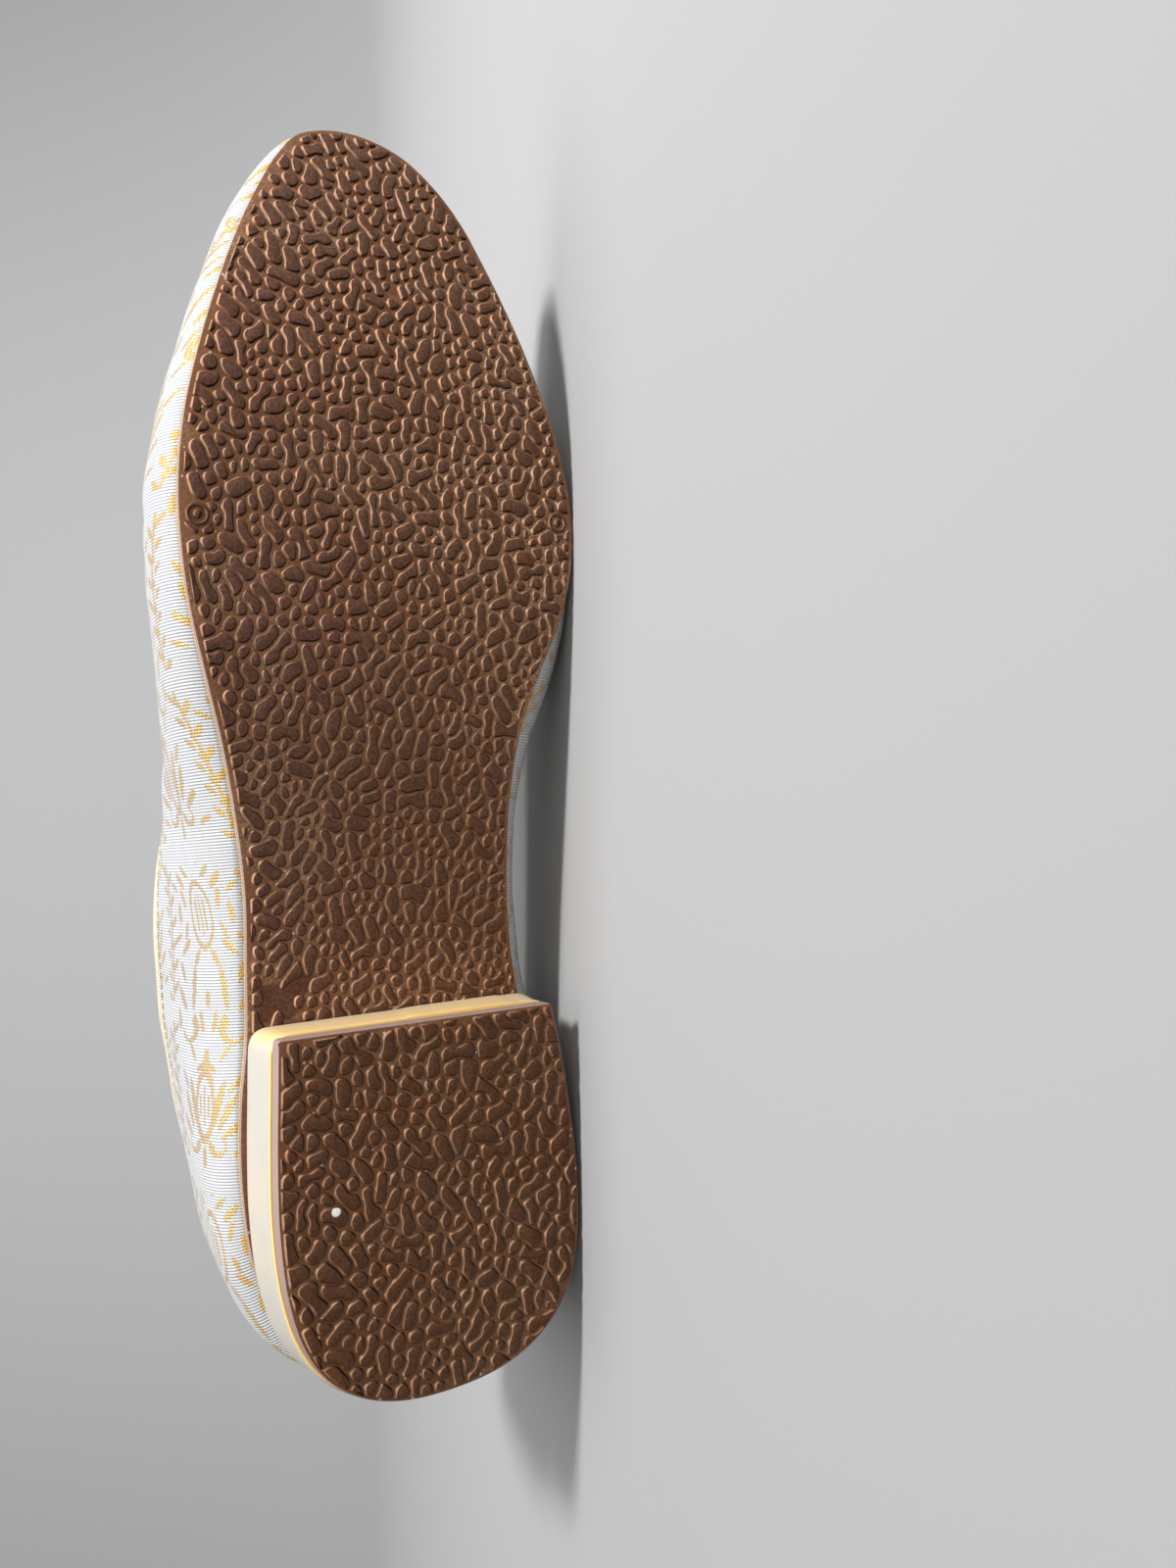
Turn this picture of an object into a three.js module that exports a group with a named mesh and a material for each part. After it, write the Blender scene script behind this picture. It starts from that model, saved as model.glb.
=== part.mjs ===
// A man's slip-on shoe in brocade on a low heel: the right shoe of a pair, lying on its medial side.
// Millimetres. The shoe is shaped as it stands on level ground: x runs from the back of the heel to
// the toe, y points to the medial side and z points up. The last section lays it down on its side.
import * as THREE from 'three';
import { mergeVertices } from 'three/addons/utils/BufferGeometryUtils.js';

// Driving dimensions
const GAP = 0.3; // clearance between pieces that touch
const WALL = 2.3; // brocade, interlining and lining together
const SOLE = {
  thickness: 2.8,
  bevel: 0.7, // rounding of the lower edge
  heelSeat: 18.5, // underside above the ground over the heel
  seatEnd: 74, // where the shank starts to fall
  ballStart: 200, // where the tread reaches the ground
  springStart: 208, // where the toe starts to rise
  toe: 301,
  springTip: 11.8, // rise of the tread at the toe
  cup: 3.2, // extra rise of the edges of the toe
  cupWidth: 45,
};
const INSOLE = { thickness: 2.4, clearance: 0.4 };
const LIFT = { thickness: 4.3, corner: 1.2, chamfer: 0.6 };
const BLOCK = { corner: 4.5, breast: 0.4, centreX: 45 };
const BINDING = { proud: 0.75, height: 3.2, rounding: 0.55 };
const FEATHER_INSET = 0.5; // the upper meets the sole this far inside its edge
const THROAT_X = 180; // front end of the foot opening

// How the shoe lies on the edge of its heel tread and on the side of its upper: tipped over onto the
// medial side, which leaves the sole 13.7 degrees off upright, and turned to level the heel and ball
const POSE = { tip: THREE.MathUtils.degToRad(-76.3), turn: THREE.MathUtils.degToRad(-4.61) };

// Edge of the sole, as half widths to either side of the centre line of the heel
const SOLE_ENDS = { heelX: -1, heelY: 0, toeX: SOLE.toe, toeY: 3 };
const SOLE_EDGE = [
  { x: 1.6, lateral: 16, medial: 16 },
  { x: 8, lateral: 27, medial: 27 },
  { x: 18, lateral: 34.2, medial: 34 },
  { x: 32, lateral: 38.4, medial: 38 },
  { x: 50, lateral: 39.8, medial: 39.2 },
  { x: 68, lateral: 38.8, medial: 37.4 },
  { x: 84, lateral: 36.4, medial: 33.2 },
  { x: 100, lateral: 35.6, medial: 31.2 },
  { x: 118, lateral: 35.3, medial: 30.6 },
  { x: 136, lateral: 37, medial: 31.4 },
  { x: 152, lateral: 39.4, medial: 34.2 },
  { x: 166, lateral: 42.2, medial: 39.6 },
  { x: THROAT_X, lateral: 44.8, medial: 45.9 },
  { x: 193, lateral: 46, medial: 49.4 },
  { x: 208, lateral: 45.7, medial: 50.4 },
  { x: 224, lateral: 43.2, medial: 48.3 },
  { x: 242, lateral: 37.9, medial: 43.9 },
  { x: 258, lateral: 32, medial: 38.9 },
  { x: 271, lateral: 26.4, medial: 34.2 },
  { x: 282, lateral: 20.8, medial: 29.6 },
  { x: 291, lateral: 15.4, medial: 23.6 },
  { x: 298, lateral: 9, medial: 15.4 },
];

// Widest line of the upper: how far it stands out past the edge of the sole, and its height
const SWELL = [
  { x: -1, lateral: 3.2, medial: 3.2, lateralZ: 33, medialZ: 33 },
  { x: 18, lateral: 4.6, medial: 4.6, lateralZ: 31, medialZ: 31 },
  { x: 32, lateral: 5.6, medial: 5.6, lateralZ: 31, medialZ: 32 },
  { x: 50, lateral: 6.7, medial: 6.8, lateralZ: 36, medialZ: 36 },
  { x: 68, lateral: 8.7, medial: 8.2, lateralZ: 45, medialZ: 42 },
  { x: 84, lateral: 11.6, medial: 9.8, lateralZ: 53, medialZ: 47 },
  { x: 100, lateral: 12.4, medial: 11.2, lateralZ: 55, medialZ: 50 },
  { x: 118, lateral: 12.2, medial: 11.4, lateralZ: 54, medialZ: 50 },
  { x: 136, lateral: 9.6, medial: 11.6, lateralZ: 45, medialZ: 46 },
  { x: 152, lateral: 8.2, medial: 12, lateralZ: 31, medialZ: 39 },
  { x: 166, lateral: 6.8, medial: 10.8, lateralZ: 22, medialZ: 31 },
  { x: THROAT_X, lateral: 5.5, medial: 7.6, lateralZ: 17, medialZ: 24 },
  { x: 193, lateral: 4.9, medial: 3.4, lateralZ: 15, medialZ: 20 },
  { x: 208, lateral: 4.9, medial: 1.9, lateralZ: 14, medialZ: 18 },
  { x: 224, lateral: 4.3, medial: 1.8, lateralZ: 14, medialZ: 17 },
  { x: 242, lateral: 3.6, medial: 2.2, lateralZ: 15, medialZ: 16 },
  { x: 258, lateral: 3.5, medial: 2.6, lateralZ: 16.5, medialZ: 17 },
  { x: 271, lateral: 3.6, medial: 3.2, lateralZ: 18, medialZ: 18 },
  { x: 285, lateral: 3, medial: 2.6, lateralZ: 19, medialZ: 19 },
  { x: 301, lateral: 1.6, medial: 1.6, lateralZ: 20, medialZ: 20 },
];
const FEATHER_LIFT = 0.22; // how soon the wall turns up as it leaves the sole, 0 at once to 1 late

// Crown of the last: the ridge of the toe and instep, and behind the throat the cone over the ankle
const CROWN = [
  { x: 40, z: 118, y: 0 },
  { x: 80, z: 114, y: 0 },
  { x: 110, z: 102, y: 1 },
  { x: 140, z: 84, y: 3 },
  { x: 160, z: 73, y: 4.5 },
  { x: THROAT_X, z: 64, y: 5.5 },
  { x: 200, z: 57.5, y: 6 },
  { x: 220, z: 52, y: 6 },
  { x: 240, z: 46.5, y: 6 },
  { x: 258, z: 41, y: 5.5 },
  { x: 272, z: 36, y: 5 },
  { x: 284, z: 30, y: 4.5 },
  { x: 294, z: 24.5, y: 4 },
];
const CROWN_REACH = { heel: 46, heelEnd: 90, toe: 16, toeStart: 240 }; // how far the end ribs lean in
const FULLNESS = { side: 0.56, top: 0.6 }; // roundness of the shoulder between wall and crown

// Top edge of the upper, behind the throat
const TOPLINE = [
  { x: -6, z: 81 },
  { x: 8, z: 79.5 },
  { x: 30, z: 73.5 },
  { x: 55, z: 66.5 },
  { x: 80, z: 61.5 },
  { x: 105, z: 59 },
  { x: 130, z: 58.5 },
  { x: 150, z: 59.6 },
  { x: 168, z: 61.8 },
  { x: THROAT_X, z: 64 },
];

// Tread of the heel, half widths from the back to the breast
const HEEL_EDGE = [
  { x: 0, half: 0 },
  { x: 1.3, half: 13 },
  { x: 5, half: 22 },
  { x: 11, half: 29 },
  { x: 19, half: 33.4 },
  { x: 30, half: 36 },
  { x: 45, half: 36.8 },
  { x: 60, half: 36.1 },
  { x: 73, half: 35 },
];
const HEEL_CORNERS = { lateral: { x: 86, y: -33.9 }, medial: { x: 84, y: 33.4 } };

// Side of the heel block from the tread up: height as a share, and how far it stands past the tread
const BLOCK_SIDE = [
  { up: 0, out: 0.7 },
  { up: 0.065, out: 1.15 },
  { up: 0.13, out: 0.75 },
  { up: 0.145, out: 0.1 },
  { up: 0.215, out: 0.1 },
  { up: 0.235, out: 0.8 },
  { up: 0.6, out: 1.7 },
  { up: 1, out: 2.6 },
];

// Mesh resolution
const ROW_STEPS = 2; // ribs between two rows of the sole edge table
const THROAT_ROWS = [0.04, 0.14, 0.3, 0.72]; // extra ribs just behind the throat, in table rows
const LOWER_STEPS = 4;
const UPPER_STEPS = 8;
const SOLE_COLUMNS = 6;
const HEEL_SIDE_STEPS = 44;
const CORNER_STEPS = 4;

// A smooth curve through one column of a table, looked up by x
function columnOf(rows, key) {
  const slope = rows.map((row, i) => {
    const before = rows[Math.max(0, i - 1)];
    const after = rows[Math.min(rows.length - 1, i + 1)];
    return (after[key] - before[key]) / (after.x - before.x);
  });
  return (x) => {
    const inside = THREE.MathUtils.clamp(x, rows[0].x, rows[rows.length - 1].x);
    let i = 0;
    while (i < rows.length - 2 && inside > rows[i + 1].x) i += 1;
    const span = rows[i + 1].x - rows[i].x;
    const t = (inside - rows[i].x) / span;
    const rise = rows[i + 1][key] - rows[i][key];
    const leave = slope[i] * span - rise;
    const arrive = rise - slope[i + 1] * span;
    return rows[i][key] + t * rise + t * (1 - t) * ((1 - t) * leave + t * arrive);
  };
}

function soleBottom(x, y) {
  const climb = THREE.MathUtils.smoothstep(SOLE.ballStart - x, 0, SOLE.ballStart - SOLE.seatEnd);
  const spring = Math.max(0, (x - SOLE.springStart) / (SOLE.toe - SOLE.springStart));
  const edgeRise = SOLE.cup * (y / SOLE.cupWidth) ** 2;
  return SOLE.heelSeat * climb + spring ** 2 * (SOLE.springTip + edgeRise);
}

const soleTop = (x, y) => soleBottom(x, y) + SOLE.thickness;

// The sole's edge as one closed curve: from the heel along the lateral side to the toe and back
const SIDE_ROWS = SOLE_EDGE.length + 1;
const soleEdge = new THREE.CatmullRomCurve3(
  [
    new THREE.Vector3(SOLE_ENDS.heelX, SOLE_ENDS.heelY, 0),
    ...SOLE_EDGE.map((row) => new THREE.Vector3(row.x, -row.lateral, 0)),
    new THREE.Vector3(SOLE_ENDS.toeX, SOLE_ENDS.toeY, 0),
    ...SOLE_EDGE.map((row) => new THREE.Vector3(row.x, row.medial, 0)).reverse(),
  ],
  true,
  'centripetal',
);

const around = (row, medial) => (medial ? 1 - row / (2 * SIDE_ROWS) : row / (2 * SIDE_ROWS));
const wrap = (turn) => turn - Math.floor(turn);

function edgeFrame(turn) {
  const point = soleEdge.getPoint(wrap(turn));
  const tangent = soleEdge.getTangent(wrap(turn));
  return { point, out: new THREE.Vector3(tangent.y, -tangent.x, 0).normalize() };
}

// Sheets of points become one closed mesh. A sheet is a list of rows of points with its face to the
// left of the way from one row to the next; flip turns it over.
function closedMesh(sheets) {
  const corners = [];
  const triangle = (a, b, c) => {
    const area = new THREE.Triangle(a, b, c).getArea();
    if (area > 1e-6) corners.push(a, b, c);
  };
  for (const { rows, flip = false } of sheets) {
    for (let i = 0; i < rows.length - 1; i += 1) {
      for (let j = 0; j < rows[i].length - 1; j += 1) {
        const [a, b, c, d] = [rows[i][j], rows[i + 1][j], rows[i + 1][j + 1], rows[i][j + 1]];
        if (flip) {
          triangle(a, c, b);
          triangle(a, d, c);
        } else {
          triangle(a, b, c);
          triangle(a, c, d);
        }
      }
    }
  }
  const soup = new THREE.BufferGeometry().setFromPoints(corners);
  const geometry = mergeVertices(soup, 1e-4);
  geometry.computeVertexNormals();
  return geometry;
}

const mix = (a, b, t) => new THREE.Vector3().lerpVectors(a, b, t);
const steps = (count) => Array.from({ length: count + 1 }, (_, i) => i / count);
const tableRows = Array.from({ length: SIDE_ROWS * ROW_STEPS + 1 }, (_, i) => i / ROW_STEPS);

// A plate with the outline of the sole, drawn in by an inset, between two height functions
function solePlate(inset, bottomOf, topOf, bevel) {
  const edgeAt = (row, medial, extra) => {
    const { point, out } = edgeFrame(around(row, medial));
    return point.clone().addScaledVector(out, -inset - extra);
  };
  const lifted = (point, heightOf, rise = 0) =>
    new THREE.Vector3(point.x, point.y, heightOf(point.x, point.y) + rise);
  const face = (heightOf, extra) =>
    tableRows.map((row) => {
      const lateral = edgeAt(row, false, extra);
      const medial = edgeAt(row, true, extra);
      return steps(SOLE_COLUMNS).map((t) => lifted(mix(lateral, medial, t), heightOf));
    });
  const bottom = face(bottomOf, bevel);
  const top = face(topOf, 0);
  const side = (medial) =>
    tableRows.map((row, i) => {
      const column = medial ? SOLE_COLUMNS : 0;
      return [bottom[i][column], lifted(edgeAt(row, medial, 0), bottomOf, bevel), top[i][column]];
    });
  return closedMesh([
    { rows: bottom, flip: true },
    { rows: top },
    { rows: side(false) },
    { rows: side(true), flip: true },
  ]);
}

// The last, as ribs that rise from the sole's edge. A rib runs from 0 at the sole to 1 at its widest
// point and to 2 at the crown.
const swell = {
  lateral: columnOf(SWELL, 'lateral'),
  medial: columnOf(SWELL, 'medial'),
  lateralZ: columnOf(SWELL, 'lateralZ'),
  medialZ: columnOf(SWELL, 'medialZ'),
};
const crown = { z: columnOf(CROWN, 'z'), y: columnOf(CROWN, 'y') };
const topline = columnOf(TOPLINE, 'z');
const mirrored = (turn) => wrap(1 - turn);

function crownPoint(turn) {
  const here = (soleEdge.getPoint(wrap(turn)).x + soleEdge.getPoint(mirrored(turn)).x) / 2;
  const { heel, heelEnd, toe, toeStart } = CROWN_REACH;
  const fromHeel = Math.max(0, 1 - here / heelEnd);
  const fromToe = Math.max(0, (here - toeStart) / (SOLE.toe - toeStart));
  const x = here + heel * fromHeel ** 2 - toe * fromToe ** 2;
  return new THREE.Vector3(x, crown.y(x), crown.z(x));
}

const crownSlope = (x) => crown.z(x + 0.5) - crown.z(x - 0.5);

function ribPoint(turn, reach) {
  const { point, out } = edgeFrame(turn);
  const lateral = wrap(turn) < 0.5;
  const foot = point.clone().addScaledVector(out, -FEATHER_INSET);
  foot.z = soleTop(foot.x, foot.y) + GAP;
  const width = lateral ? swell.lateral(point.x) : swell.medial(point.x);
  const wide = point.clone().addScaledVector(out, width);
  wide.z = lateral ? swell.lateralZ(point.x) : swell.medialZ(point.x);
  if (reach <= 1) {
    const turnUp = new THREE.Vector3(wide.x, wide.y, foot.z + FEATHER_LIFT * (wide.z - foot.z));
    return new THREE.QuadraticBezierCurve3(foot, turnUp, wide).getPoint(reach);
  }
  const top = crownPoint(turn);
  const rise = new THREE.Vector3(wide.x, wide.y, wide.z + FULLNESS.side * (top.z - wide.z));
  const shoulder = mix(top, wide, FULLNESS.top);
  shoulder.z = top.z + crownSlope(top.x) * (shoulder.x - top.x);
  return new THREE.CubicBezierCurve3(wide, rise, shoulder, top).getPoint(reach - 1);
}

// Direction square to the last, pointing out
function ribNormal(turn, reach) {
  const step = { turn: 2e-4, reach: 2e-3 };
  if (reach > 2 - step.reach) {
    return new THREE.Vector3(-crownSlope(crownPoint(turn).x), 0, 1).normalize();
  }
  const low = Math.max(0, reach - step.reach);
  const alongEdge = ribPoint(turn + step.turn, reach).sub(ribPoint(turn - step.turn, reach));
  const upRib = ribPoint(turn, reach + step.reach).sub(ribPoint(turn, low));
  return upRib.cross(alongEdge).negate().normalize();
}

// How far up a rib the upper goes: to the crown in front of the throat, to the top edge behind it
const THROAT_ROW = 1 + SOLE_EDGE.findIndex((row) => row.x === THROAT_X);

function ribEnd(turn, row) {
  if (row >= THROAT_ROW) return 2;
  let [low, high] = [1, 2];
  for (let i = 0; i < 30; i += 1) {
    const middle = (low + high) / 2;
    const point = ribPoint(turn, middle);
    if (point.z < topline(point.x)) low = middle;
    else high = middle;
  }
  return low;
}

const ribRows = [
  ...tableRows,
  ...THROAT_ROWS.map((back) => THROAT_ROW - back),
].sort((a, b) => a - b);

// Ribs once around the shoe, each with its outer and inner points from the sole to its end
function upperRibs() {
  const lateral = ribRows.map((row) => ({ row, turn: around(row, false) }));
  const medial = ribRows.slice(1, -1).reverse().map((row) => ({ row, turn: around(row, true) }));
  const ribs = [...lateral, ...medial].map(({ row, turn }) => {
    const end = ribEnd(turn, row);
    const reaches = [
      ...steps(LOWER_STEPS).slice(0, -1),
      ...steps(UPPER_STEPS).map((share) => 1 + share * (end - 1)),
    ];
    const outer = reaches.map((reach) => ribPoint(turn, reach));
    const inner = reaches.map((reach, i) =>
      outer[i].clone().addScaledVector(ribNormal(turn, reach), -WALL));
    inner[0] = outer[0].clone().addScaledVector(edgeFrame(turn).out, -WALL);
    return { row, outer, inner, normal: ribNormal(turn, end) };
  });
  return [...ribs, ribs[0]];
}

function upperGeometry(ribs) {
  const open = ribs.map((rib) => rib.row <= THROAT_ROW);
  const last = (points) => points[points.length - 1];
  const rims = ribs.slice(0, -1).flatMap((rib, i) => {
    if (!open[i] || !open[i + 1]) return [];
    const next = ribs[i + 1];
    return [{ rows: [[last(rib.outer), last(rib.inner)], [last(next.outer), last(next.inner)]] }];
  });
  return closedMesh([
    { rows: ribs.map((rib) => rib.outer) },
    { rows: ribs.map((rib) => rib.inner), flip: true },
    { rows: ribs.map((rib) => [rib.outer[0], rib.inner[0]]), flip: true },
    ...rims,
  ]);
}

// A rolled strip that sits on the top edge, once around the opening
function bindingGeometry(ribs) {
  const behind = ribs.slice(0, -1).filter((rib) => rib.row <= THROAT_ROW);
  const split = behind.findIndex((rib, i) => i > 0 && rib.row === THROAT_ROW);
  const loop = [...behind.slice(0, split + 1), ...behind.slice(split + 2)];
  const edge = loop.map((rib) => mix(rib.outer[rib.outer.length - 1], rib.inner[rib.inner.length - 1], 0.5));
  const half = WALL / 2 + BINDING.proud;
  const profile = [
    { along: 0, across: -half * 0.8 },
    { along: 0, across: half * 0.8 },
    { along: BINDING.rounding, across: half },
    { along: BINDING.height * 0.6, across: half },
    { along: BINDING.height * 0.92, across: half * 0.6 },
    { along: BINDING.height, across: 0 },
    { along: BINDING.height * 0.92, across: -half * 0.6 },
    { along: BINDING.height * 0.6, across: -half },
    { along: BINDING.rounding, across: -half },
  ];
  const rings = loop.map((rib, i) => {
    const before = edge[(i + edge.length - 1) % edge.length];
    const after = edge[(i + 1) % edge.length];
    const tangent = after.clone().sub(before).normalize();
    const normal = rib.normal;
    const onward = normal.clone().cross(tangent).normalize();
    return [...profile, profile[0]].map(({ along, across }) =>
      edge[i].clone().addScaledVector(onward, GAP + along).addScaledVector(normal, across));
  });
  return closedMesh([{ rows: [...rings, rings[0]] }]);
}

// The heel in plan: round the back from one breast corner to the other, moved out by an offset
const heelSide = new THREE.CatmullRomCurve3(
  [
    new THREE.Vector3(HEEL_CORNERS.lateral.x, HEEL_CORNERS.lateral.y, 0),
    ...HEEL_EDGE.map((row) => new THREE.Vector3(row.x, -row.half, 0)).reverse(),
    ...HEEL_EDGE.slice(1).map((row) => new THREE.Vector3(row.x, row.half, 0)),
    new THREE.Vector3(HEEL_CORNERS.medial.x, HEEL_CORNERS.medial.y, 0),
  ],
  false,
  'centripetal',
);

function heelRing(offset, breastOffset, corner, heightOf) {
  const length = heelSide.getLength();
  const points = steps(HEEL_SIDE_STEPS).map((share) => {
    const at = (corner + share * (length - 2 * corner)) / length;
    const point = heelSide.getPointAt(at);
    const tangent = heelSide.getTangentAt(at);
    return point.addScaledVector(new THREE.Vector3(-tangent.y, tangent.x, 0), -offset);
  });
  const bend = (from, tip, to) =>
    steps(CORNER_STEPS).slice(1, -1).map((t) => new THREE.QuadraticBezierCurve3(from, tip, to).getPoint(t));
  const cornerOf = ({ x, y }) => new THREE.Vector3(x + breastOffset, y + Math.sign(y) * offset, 0);
  const [lateral, medial] = [cornerOf(HEEL_CORNERS.lateral), cornerOf(HEEL_CORNERS.medial)];
  const across = medial.clone().sub(lateral).normalize();
  const breast = [medial.clone().addScaledVector(across, -corner), lateral.clone().addScaledVector(across, corner)];
  const ring = [
    ...points,
    ...bend(points[points.length - 1], medial, breast[0]),
    ...breast,
    ...bend(breast[1], lateral, points[0]),
  ];
  for (const point of ring) point.z = heightOf(point.x, point.y);
  return [...ring, ring[0]];
}

// A body from rings stacked upward, each end closed by a fan
function ringStack(rings) {
  const hub = (ring, heightOf) =>
    ring.map(() => new THREE.Vector3(BLOCK.centreX, 0, heightOf));
  const [lowest, highest] = [rings[0], rings[rings.length - 1]];
  const middle = Math.min(...highest.map((point) => point.z));
  return closedMesh([{ rows: [hub(lowest, lowest[0].z), ...rings, hub(highest, middle)] }]);
}

function liftGeometry() {
  const level = (z) => () => z;
  return ringStack([
    heelRing(-LIFT.chamfer, -LIFT.chamfer, LIFT.corner, level(0)),
    heelRing(0, 0, LIFT.corner, level(LIFT.chamfer)),
    heelRing(0.15, 0, LIFT.corner, level(LIFT.thickness)),
  ]);
}

function blockGeometry() {
  const floor = LIFT.thickness + GAP;
  const heightAt = (up) => (x, y) => floor + up * (soleBottom(x, y) - GAP - floor);
  const rings = BLOCK_SIDE.map(({ up, out }) =>
    heelRing(out, BLOCK.breast + (out - BLOCK_SIDE[0].out) * 0.25, BLOCK.corner, heightAt(up)));
  return ringStack(rings);
}

// Finishes
const finish = (color, roughness) => new THREE.MeshStandardMaterial({ color, roughness, metalness: 0 });
const FINISHES = {
  rubber: finish('#4a302a', 0.62),
  heelWrap: finish('#e9dcc0', 0.5),
  brocade: finish('#efe8da', 0.55),
  piping: finish('#d9c08a', 0.5),
  lining: finish('#d8c4a0', 0.8),
};

function piece(name, geometry, material) {
  const mesh = new THREE.Mesh(geometry, material);
  mesh.name = name;
  return mesh;
}

const ribs = upperRibs();
const outsole = solePlate(0, soleBottom, soleTop, SOLE.bevel);
const insoleFloor = (x, y) => soleTop(x, y) + GAP;
const insoleFace = (x, y) => insoleFloor(x, y) + INSOLE.thickness;
const insole = solePlate(FEATHER_INSET + WALL + INSOLE.clearance, insoleFloor, insoleFace, 0.5);

const standing = new THREE.Group();
standing.add(
  piece('top_lift', liftGeometry(), FINISHES.rubber),
  piece('heel_block', blockGeometry(), FINISHES.heelWrap),
  piece('outsole', outsole, FINISHES.rubber),
  piece('insole', insole, FINISHES.lining),
  piece('upper', upperGeometry(ribs), FINISHES.brocade),
  piece('collar_binding', bindingGeometry(ribs), FINISHES.piping),
);

// Lay the shoe on its side, with the middle of its lowest level at the origin
standing.rotation.set(POSE.tip, 0, POSE.turn);
const shoe = new THREE.Group();
shoe.add(standing);
const reach = new THREE.Box3().setFromObject(shoe, true);
const middle = reach.getCenter(new THREE.Vector3());
shoe.position.set(-middle.x, -middle.y, -reach.min.z);
shoe.updateMatrixWorld(true);

export default shoe;
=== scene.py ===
"""A man's slip-on shoe in ivory and gold brocade on a low heel: the right shoe, lying on its side.

The shoe is worked out in millimetres as it stands on level ground, with x from the heel to the toe,
y to the medial side and z up, and each finished piece is then laid down in the frame of the CAD.
"""

from __future__ import annotations

import logging
import math
import random
from dataclasses import dataclass
from enum import Enum
from typing import Callable, Iterable, Sequence

import bmesh
import bpy
import numpy as np
from mathutils import Matrix, Vector
from mathutils.geometry import delaunay_2d_cdt

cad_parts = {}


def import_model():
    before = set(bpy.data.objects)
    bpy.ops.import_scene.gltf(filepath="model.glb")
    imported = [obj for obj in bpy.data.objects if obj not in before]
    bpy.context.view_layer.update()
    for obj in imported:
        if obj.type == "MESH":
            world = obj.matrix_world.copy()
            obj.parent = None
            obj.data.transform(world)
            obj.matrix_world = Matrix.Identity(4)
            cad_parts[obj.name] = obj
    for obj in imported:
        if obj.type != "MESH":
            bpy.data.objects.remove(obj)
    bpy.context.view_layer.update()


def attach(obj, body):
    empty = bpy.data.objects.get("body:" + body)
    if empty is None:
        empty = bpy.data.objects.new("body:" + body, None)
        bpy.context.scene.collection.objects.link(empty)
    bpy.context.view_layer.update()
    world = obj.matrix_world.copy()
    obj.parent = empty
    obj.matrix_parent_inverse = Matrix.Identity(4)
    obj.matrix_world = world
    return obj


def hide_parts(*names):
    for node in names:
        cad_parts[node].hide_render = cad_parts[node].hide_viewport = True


log = logging.getLogger("slip_on_shoe")

Table = Sequence[tuple[float, ...]]
Curve = Callable[[np.ndarray], np.ndarray]
Surface = Callable[[np.ndarray, np.ndarray], np.ndarray]

# Sizes of the standing shoe, in millimetres
GAP = 0.3
WALL = 2.3
SOLE_THICKNESS = 2.8
HEEL_SEAT = 18.5
SEAT_END = 74.0
BALL_START = 200.0
SPRING_START = 208.0
TOE = 301.0
SPRING_TIP = 11.8
TOE_CUP = 3.2
CUP_WIDTH = 45.0
FEATHER_INSET = 0.5
THROAT_X = 180.0
FEATHER_LIFT = 0.22
LIFT_THICKNESS = 4.3

# Edge of the sole: x and the half widths on the lateral and medial side
SOLE_HEEL = (-1.0, 0.0)
SOLE_TOE = (TOE, 3.0)
SOLE_EDGE: Table = (
    (1.6, 16, 16),
    (8, 27, 27),
    (18, 34.2, 34),
    (32, 38.4, 38),
    (50, 39.8, 39.2),
    (68, 38.8, 37.4),
    (84, 36.4, 33.2),
    (100, 35.6, 31.2),
    (118, 35.3, 30.6),
    (136, 37, 31.4),
    (152, 39.4, 34.2),
    (166, 42.2, 39.6),
    (THROAT_X, 44.8, 45.9),
    (193, 46, 49.4),
    (208, 45.7, 50.4),
    (224, 43.2, 48.3),
    (242, 37.9, 43.9),
    (258, 32, 38.9),
    (271, 26.4, 34.2),
    (282, 20.8, 29.6),
    (291, 15.4, 23.6),
    (298, 9, 15.4),
)

# Widest line of the upper: x, how far it stands out on each side, and its height on each side
SWELL: Table = (
    (-1, 3.2, 3.2, 33, 33),
    (18, 4.6, 4.6, 31, 31),
    (32, 5.6, 5.6, 31, 32),
    (50, 6.7, 6.8, 36, 36),
    (68, 8.7, 8.2, 45, 42),
    (84, 11.6, 9.8, 53, 47),
    (100, 12.4, 11.2, 55, 50),
    (118, 12.2, 11.4, 54, 50),
    (136, 9.6, 11.6, 45, 46),
    (152, 8.2, 12, 31, 39),
    (166, 6.8, 10.8, 22, 31),
    (THROAT_X, 5.5, 7.6, 17, 24),
    (193, 4.9, 3.4, 15, 20),
    (208, 4.9, 1.9, 14, 18),
    (224, 4.3, 1.8, 14, 17),
    (242, 3.6, 2.2, 15, 16),
    (258, 3.5, 2.6, 16.5, 17),
    (271, 3.6, 3.2, 18, 18),
    (285, 3, 2.6, 19, 19),
    (301, 1.6, 1.6, 20, 20),
)

# Crown of the last: x, height and sideways place
CROWN: Table = (
    (40, 118, 0),
    (80, 114, 0),
    (110, 102, 1),
    (140, 84, 3),
    (160, 73, 4.5),
    (THROAT_X, 64, 5.5),
    (200, 57.5, 6),
    (220, 52, 6),
    (240, 46.5, 6),
    (258, 41, 5.5),
    (272, 36, 5),
    (284, 30, 4.5),
    (294, 24.5, 4),
)
# How far the crown's points are drawn in at heel and toe, and how full the ribs are
HEEL_REACH = 46.0
HEEL_REACH_END = 90.0
TOE_REACH = 16.0
TOE_REACH_START = 240.0
SIDE_FULLNESS = 0.56
TOP_FULLNESS = 0.6

# Top edge of the upper behind the throat: x and height
TOPLINE: Table = (
    (-6, 81),
    (8, 79.5),
    (30, 73.5),
    (55, 66.5),
    (80, 61.5),
    (105, 59),
    (130, 58.5),
    (150, 59.6),
    (168, 61.8),
    (THROAT_X, 64),
)

# White fleck on the tread of the heel, in metres
FLECK = (-0.1042, -0.0419, 0.0603)

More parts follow.
